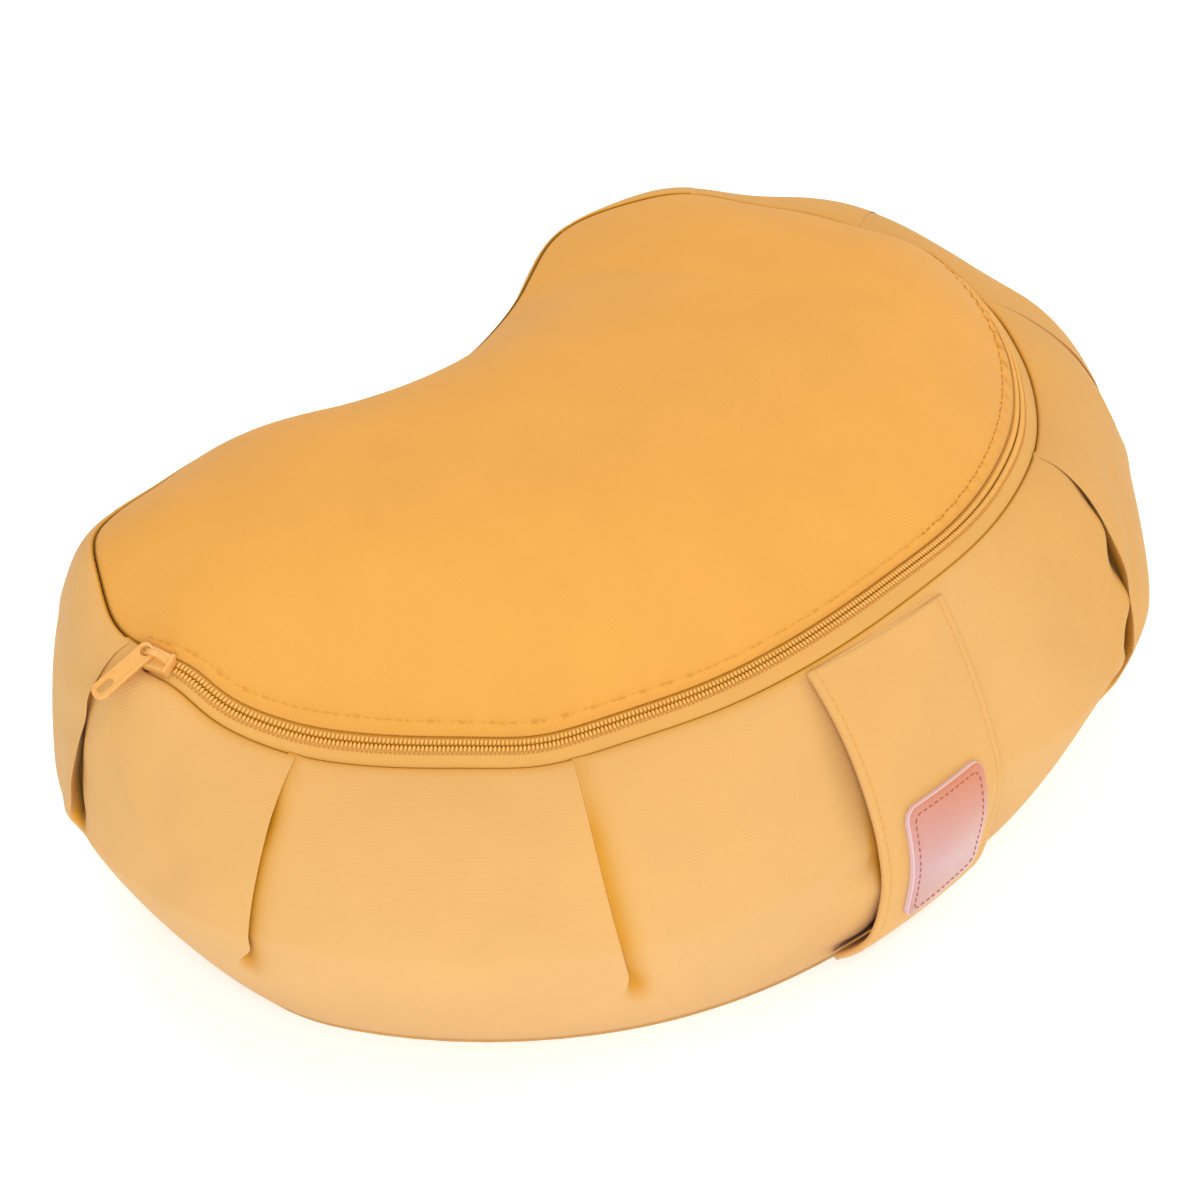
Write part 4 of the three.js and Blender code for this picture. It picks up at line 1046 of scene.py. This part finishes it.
# %% The strap
# its left edge in section, from inside to outside: mm in from the edge, mm out; the right edge mirrors it
STRAP_EDGE = ((0.25, 0.25), (0, 1.1), (0.3, 1.9), (1, 2.35), (2.2, 2.3), (3, 1.95), (3.8, 2.3))
left_edge = [(-half + across, out) for across, out in STRAP_EDGE]
profile = left_edge + [(across, 2.4) for across in np.linspace(-half + 6, half - 6, 11)]
profile += [(-across, out) for across, out in left_edge[::-1]]
profile += [(across, 0.0) for across in np.linspace(half - 1, -half + 1, 9)]
profile = np.array(profile)
runs = np.linspace(0, strap_length, 64)
strap_rings = np.array([on_strap(profile[:, 0], np.full(len(profile), r), profile[:, 1]) for r in runs])
strap_flat = np.stack(np.broadcast_arrays(profile[None, :, 0] + 40, runs[:, None]), -1)
strap = cloth_mesh("carry_strap_cloth", strap_rings, strap_flat)
finish_piece(strap, STRAP_COTTON, "strap_cloth", "carry_strap")

# %% The strap's stitches
STITCHED_FROM, STITCHED_TO = 2, strap_length - 2
fine_runs = np.linspace(STITCHED_FROM, STITCHED_TO, 300)
for name, across in (("strap_stitches_left", -half + 3), ("strap_stitches_right", half - 3)):
    at, along = spaced(on_strap(np.full(300, across), fine_runs, 1.95), 3.3)
    there = np.full(len(at), across), np.linspace(STITCHED_FROM, STITCHED_TO, len(at))
    out = on_strap(*there, 3.0) - on_strap(*there, 2.0)
    in_rows(name, bead(name, 2.6, 0.55, 0.5), at, along, out, THREAD_CLOTH, "strap_cloth")

# %% [markdown]
# ## Hard pieces
# The patch, the slider and the pull are modelled as by hand: a primitive is given its size, edges or
# faces are picked by their place, and then they are bevelled, inset or cut. These helpers do that.

# %% Blocks, picked edges and cuts
def only(piece):
    """Selects one piece and nothing else."""
    bpy.ops.object.select_all(action="DESELECT")
    piece.select_set(True)
    bpy.context.view_layer.objects.active = piece


def block(name, size, at=(0, 0, 0), add=bpy.ops.mesh.primitive_cube_add):
    bpy.ops.object.select_all(action="DESELECT")
    add(size=1, location=at)
    made = bpy.context.object
    made.name = name
    bpy.ops.transform.resize(value=size)
    bpy.ops.object.transform_apply(location=True, scale=True)
    return made


def pick(piece, kind, chosen):
    """Opens a piece in edit mode with only the parts of one kind selected that a test picks."""
    only(piece)
    bpy.ops.object.mode_set(mode="EDIT")
    bpy.ops.mesh.select_mode(type=kind)
    bpy.ops.mesh.select_all(action="DESELECT")
    work = bmesh.from_edit_mesh(piece.data)
    for part in {"VERT": work.verts, "EDGE": work.edges, "FACE": work.faces}[kind]:
        part.select_set(bool(chosen(part)))
    bmesh.update_edit_mesh(piece.data)


def round_edges(piece, chosen, width, segments):
    """Bevels the edges that a test picks by their two ends."""
    pick(piece, "EDGE", lambda edge: chosen(edge.verts[0].co, edge.verts[1].co))
    bpy.ops.mesh.bevel(offset=width, segments=segments, affect="EDGES")
    bpy.ops.object.mode_set(mode="OBJECT")


def upright(x_low, x_high):
    return lambda a, b: abs(a.z - b.z) > 0.5 and x_low < a.x < x_high


def faces_up(face):
    return face.normal.z > 0.9


def combine(piece, other, operation):
    """Joins another piece to this one, or cuts it out of it."""
    bpy.ops.object.select_all(action="DESELECT")
    bpy.context.view_layer.objects.active = piece
    cut = piece.modifiers.new(operation, "BOOLEAN")
    cut.operation, cut.solver, cut.object = operation, "EXACT", other
    bpy.ops.object.modifier_apply(modifier=cut.name)
    bpy.data.objects.remove(other)


def smooth_to_edges(piece):
    only(piece)
    bpy.ops.object.shade_smooth_by_angle(angle=math.radians(35))


# %% [markdown]
# ## The patch
# A piece of split leather with rounded corners, sewn on with one row of stitches; it is left blank.
# It is modelled flat: a block, its four upright edges bevelled round, its face inset to soften the cut
# edge, and bisected across so that it can bend. Then every point is laid on the strap's own curve.

# %% The patch, flat
PATCH = {"width": 39, "top": 76.5, "bottom": 35, "corner": 5, "thickness": 1.6, "off_strap": 0.15}
PATCH_FROM, PATCH_TO = (float(np.interp(-PATCH[end], -STRAP_PATH[:, 0], strap_run)) for end in ("top", "bottom"))
print(f"patch {PATCH['width']} mm wide, {PATCH_TO - PATCH_FROM:.0f} mm long")
patch_length, patch_middle = PATCH_TO - PATCH_FROM, (PATCH_FROM + PATCH_TO) / 2
patch = block("strap_patch_leather", (PATCH["width"], patch_length, PATCH["thickness"]))
round_edges(patch, upright(-PATCH["width"], PATCH["width"]), PATCH["corner"], 8)
pick(patch, "FACE", faces_up)
bpy.ops.mesh.inset(thickness=0.3, depth=0.3)
bpy.ops.mesh.inset(thickness=0.5, depth=0.1)
for cuts, size, normal in ((16, patch_length, Vector((0, 1, 0))), (8, PATCH["width"], Vector((1, 0, 0)))):
    for k in range(1, cuts):
        bpy.ops.mesh.select_all(action="SELECT")
        bpy.ops.mesh.bisect(plane_co=normal * (k / cuts - 0.5) * size, plane_no=normal)
bpy.ops.object.mode_set(mode="OBJECT")
print("patch", len(patch.data.polygons), "faces")

# %% The patch, laid on the strap
points = np.array([v.co for v in patch.data.vertices])
patch_base = CLOTH + PATCH["off_strap"]
placed = on_strap(points[:, 0], patch_middle - points[:, 1], patch_base + PATCH["thickness"] / 2 + points[:, 2])
patch.data.vertices.foreach_set("co", (placed * MM).astype(np.float32).ravel())
patch.data.update()
uv = patch.data.uv_layers.active
uv.name = "cloth"
uv.data.foreach_set("uv", points[point_of_corner(patch.data)][:, :2].astype(np.float32).ravel())
face_outwards(patch)

# %% [markdown]
# The leather's face is a coated red-brown. Down the patch it is painted cooler and paler: a painted
# sheen, where it catches the light. The change is drawn over its own flat places, so that it stays put in
# every view.

# %% The patch's leather
LEATHER = plain("coated split leather", "#C48068", 0.28, grain=0.12, grain_size=0.9, Coat_Weight=0.3)
leather_colour_node = LEATHER.node_tree.nodes["Principled BSDF"].inputs["Base Color"].links[0].from_node
add = partial(add_node, LEATHER)
slant = add("ShaderNodeMapping", {"Rotation": (0, 0, 0.35)}, Vector=add("ShaderNodeUVMap", {"uv_map": "cloth"}))
apart = add("ShaderNodeSeparateXYZ", Vector=slant)
# painted sheen: red-brown at the top of the patch, paler and pinker lower down
height_share = add("ShaderNodeMapRange", {"From Min": 20.0, "From Max": -22.0}, Value=apart.outputs["Y"])
painted_sheen = add("ShaderNodeValToRGB", Fac=height_share)
painted_sheen_stops = painted_sheen.color_ramp.elements
painted_sheen_stops[0].color, painted_sheen_stops[1].color = linear("#C07456"), linear("#B47F78")
painted_sheen_stops.new(0.62).color = linear("#BA8E94")
LEATHER.node_tree.links.new(painted_sheen.outputs[0], leather_colour_node.inputs[0])
LEATHER_EDGE = plain("cut edge of leather", "#D3B5BF", 0.6, grain=0.1)
finish_piece(patch, LEATHER, "patch_leather", "strap_patch")
patch.data.materials.append(LEATHER_EDGE)
for face in patch.data.polygons:
    on_top = (points[list(face.vertices), 2] > PATCH["thickness"] / 2 + 0.3).all()
    face.material_index = 0 if on_top else 1
smooth_to_edges(patch)

# %% The patch's stitches
PATCH_SEAM = {"inset": 3, "corner": 3.2, "raised": 0.45, "pitch": 2.7}
round_x, round_y = (size / 2 - PATCH_SEAM["inset"] - PATCH_SEAM["corner"] for size in (PATCH["width"], patch_length))
corner, seam_line = PATCH_SEAM["corner"], []
for x_sign, y_sign, start in ((1, 1, 0), (-1, 1, 90), (-1, -1, 180), (1, -1, 270)):
    for a in np.radians(np.linspace(start, start + 90, 10)):
        seam_line.append((x_sign * round_x + corner * math.cos(a), y_sign * round_y + corner * math.sin(a)))
seam_line = np.array(seam_line + seam_line[:1])
run = run_along(seam_line)
stitch_x, stitch_y = (np.interp(np.linspace(0, run[-1], 400), run, seam_line[:, k]) for k in (0, 1))
height = patch_base + PATCH["thickness"] + PATCH_SEAM["raised"]
path, above = (on_strap(stitch_x, patch_middle - stitch_y, height + lift) for lift in (0, 1))
at, along = spaced(path, PATCH_SEAM["pitch"])
stitch_model = bead("patch_stitches", 1.9, 0.5, 0.45)
out = (above - path)[nearest_on(path, at)]
in_rows("patch_stitches", stitch_model, at, along, out, THREAD_BROWN, "patch_leather")

# %% [markdown]
# ## The slider
# A small zinc casting: a wedge-shaped body with a round nose and a rim across its tail, and an arched
# bridge that holds the pull. It is modelled lying flat at the origin, in millimetres: a block with its
# corners rounded, and a half ring spun up from a small face, each joined on by a boolean.

# %% The slider, lying flat
slider = block("zip_slider_casting", (11, 7.6, 3.8), (0, 0, 0.7))
pick(slider, "VERT", lambda corner: corner.co.x < 0)
bpy.ops.transform.resize(value=(1, 0.88, 1))
bpy.ops.object.mode_set(mode="OBJECT")
round_edges(slider, upright(4, 9), 3.3, 7)
round_edges(slider, upright(-9, -4), 0.6, 3)
round_edges(slider, lambda a, b: min(a.z, b.z) > 2.5, 0.6, 3)
tail_rim = block("tail_rim", (1.3, 7.0, 1.2), (-4.7, 0, 2.5))
round_edges(tail_rim, lambda a, b: min(a.z, b.z) > 3, 0.4, 3)
combine(slider, tail_rim, "UNION")

BRIDGE_LEG = 3.6  # mm from the middle of the bridge to the middle of each leg
bridge = block("bridge", (1.4, 1.8, 1), (BRIDGE_LEG, 0, 0), bpy.ops.mesh.primitive_plane_add)
bpy.ops.object.mode_set(mode="EDIT")
bpy.ops.mesh.select_all(action="SELECT")
bpy.ops.mesh.spin(steps=14, angle=math.pi, center=(0, 0, 0), axis=(0, 1, 0))
bpy.ops.mesh.select_all(action="SELECT")
bpy.ops.mesh.normals_make_consistent(inside=False)
bpy.ops.transform.resize(value=(1, 1, 0.84), center_override=(0, 0, 0))
bpy.ops.transform.translate(value=(0, 0, 2.4))
bpy.ops.object.mode_set(mode="OBJECT")
face_outwards(bridge)
combine(slider, bridge, "UNION")
print("slider", [round(v, 1) for v in slider.dimensions], "mm,", len(slider.data.polygons), "faces")

# %% [markdown]
# ## The pull
# A stamped tab: its rim stands proud of a sunk middle, which comes from three insets of its upper face.
# An eye at the bridge end and a slot at the other are cut by booleans.

# %% The pull, lying flat
PULL = {"far_end": 21.5, "width": 6.2, "thickness": 1.1, "near_end": -2.8, "eye": 1.7}
pull_size = (PULL["far_end"] - PULL["near_end"], PULL["width"], PULL["thickness"])
pull = block("zip_pull_stamping", pull_size, ((PULL["far_end"] + PULL["near_end"]) / 2, 0, 0))
round_edges(pull, upright(-4, 0), 2.7, 8)
round_edges(pull, upright(19, 22), 3.0, 9)
pick(pull, "FACE", faces_up)
bpy.ops.mesh.inset(thickness=0.25, depth=0.15)
bpy.ops.mesh.inset(thickness=0.6, depth=0)
bpy.ops.mesh.inset(thickness=0.25, depth=-0.35)
bpy.ops.object.mode_set(mode="OBJECT")
bpy.ops.mesh.primitive_cylinder_add(vertices=24, radius=PULL["eye"], depth=5)
combine(pull, bpy.context.object, "DIFFERENCE")
slot_cut = block("slot_cut", (6.4, 2.8, 5), (16.7, 0, 0))
round_edges(slot_cut, upright(10, 22), 1.38, 6)
combine(pull, slot_cut, "DIFFERENCE")
print("pull", [round(v, 1) for v in pull.dimensions], "mm,", len(pull.data.polygons), "faces")

# %% [markdown]
# The slider stands at the zip's start, nose to the back. Its own axes are the zip's direction, the
# slope's outward direction, and the direction square to both. The pull hangs on the bridge's front leg
# and lies over to the left, a little below the slider's plane.

# %% Both set on the zip
SLIDER_TURN, SLIDER_ACROSS, SLIDER_RISE = 265.4, 3.7, 1.6
LEG_UP = 3.9  # mm that the pull's eye hangs above the slider's own plane
PULL_SWING, PULL_DIP = math.radians(90 - 21), math.radians(6.5)


def zip_place(turn, across):
    return Vector(band_point(np.array([turn]), np.array([across]))[0])


def zip_axes():
    """The slider's place, with its axes along the zip, across its slope and square to both."""
    along = (zip_place(SLIDER_TURN - 1, SLIDER_ACROSS) - zip_place(SLIDER_TURN + 2, SLIDER_ACROSS)).normalized()
    outer = zip_place(SLIDER_TURN + 2, 8.0) - zip_place(SLIDER_TURN + 2, 2.0)
    up = outer.cross(along).normalized()
    up = -up if up.z < 0 else up
    axes = Matrix((along, up.cross(along).normalized(), up)).transposed().to_4x4()
    return Matrix.Translation(zip_place(SLIDER_TURN, SLIDER_ACROSS)) @ axes


def set_down(piece, placing, node):
    """Moves a finished piece's points, in mm, to its place in metres, and gives it its paint."""
    piece.data.transform(Matrix.Scale(MM, 4) @ placing)
    face_outwards(piece)
    smooth_to_edges(piece)
    finish_piece(piece, ZINC_PAINT, "zip_metal", node)


on_zip = zip_axes()
hung = Matrix.Translation((BRIDGE_LEG, 0, SLIDER_RISE + LEG_UP))
swung = Matrix.Rotation(PULL_SWING, 4, "Z") @ Matrix.Rotation(PULL_DIP, 4, "Y")
set_down(slider, on_zip @ Matrix.Translation((0, 0, SLIDER_RISE)), "zip_slider")
set_down(pull, on_zip @ hung @ swung, "zip_pull")

# %% [markdown]
# ## Floor, camera and light
# A pale matt floor and three large soft lamps, as in a plain studio. The floor glows a little, so
# that it stays white right up to the cushion. The long lens keeps the crescent's outline true.

# %% The floor
bpy.ops.object.select_all(action="DESELECT")
bpy.ops.mesh.primitive_plane_add(size=8, location=(0, 0, 0))
floor = bpy.context.object
floor.name = "floor"
FLOOR_PAINT, floor_shader = new_material("matt white paint", Roughness=0.9, Specular_IOR_Level=0.1)
floor_shader.inputs["Base Color"].default_value = linear("#F1F4FA")
floor_shader.inputs["Emission Color"].default_value = (0.78, 0.9, 1, 1)
floor_shader.inputs["Emission Strength"].default_value = 0.4
floor.data.materials.append(FLOOR_PAINT)
floor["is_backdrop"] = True

# %% The camera
CAMERA = {
    "azimuth": -43.05, "elevation": 36.66, "distance": 1.659, "target": (-0.002, 0.017, 0.060), "lens": 145,
    "sensor": 36, "shift": (-0.0133, 0.0165)}
azimuth, elevation = math.radians(CAMERA["azimuth"]), math.radians(CAMERA["elevation"])
level = math.cos(elevation)
toward = Vector((math.sin(azimuth) * level, -math.cos(azimuth) * level, math.sin(elevation)))
bpy.ops.object.camera_add(
    location=Vector(CAMERA["target"]) + toward * CAMERA["distance"],
    rotation=(-toward).to_track_quat("-Z", "Y").to_euler())
camera = bpy.context.object
camera.data.lens, camera.data.sensor_width = CAMERA["lens"], CAMERA["sensor"]
camera.data.shift_x, camera.data.shift_y = CAMERA["shift"]
bpy.context.scene.camera = camera
print("camera direction", [round(v, 4) for v in toward])

# %% The lights
def softbox(name, location, size, power, colour):
    bpy.ops.object.light_add(type="AREA", location=location)
    light = bpy.context.object
    light.name = name
    light.data.shape = "DISK"
    light.data.size = size
    light.data.energy = power
    light.data.color = colour
    light.rotation_euler = (Vector((0, 0, 0.06)) - Vector(location)).to_track_quat("-Z", "Y").to_euler()


softbox("key softbox", (-1.6, -1.9, 1.5), 1.6, 40, (1, 0.99, 0.97))
softbox("fill softbox", (1.8, -1.2, 1.6), 1.6, 15, (1, 0.9, 0.66))
softbox("top softbox", (0.2, 0.8, 2.4), 2.0, 20, (1, 0.96, 0.86))
world = bpy.data.worlds.new("studio")
bpy.context.scene.world = world
world.use_nodes = True
world.node_tree.nodes["Background"].inputs["Color"].default_value = (1, 0.92, 0.74, 1)
world.node_tree.nodes["Background"].inputs["Strength"].default_value = 0.68
bpy.context.scene.view_settings.view_transform = "Standard"

# %% [markdown]
# ## The finished size
# The cloth stands a little proud of the CAD model, so both boxes are printed, with how far the
# finished one reaches past the CAD one on each side. The cloth is allowed to stand a little proud
# of the CAD model, but not to change its size.

# %% Sizes and the end
new_low, new_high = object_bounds()
print("finished box, mm:", [round(1000 * v) for v in (*new_low, *new_high)])
proud = [a - b for a, b in zip((*cad_low, *new_high), (*new_low, *cad_high))]
print("it stands proud by, mm:", [round(1000 * v, 1) for v in proud])
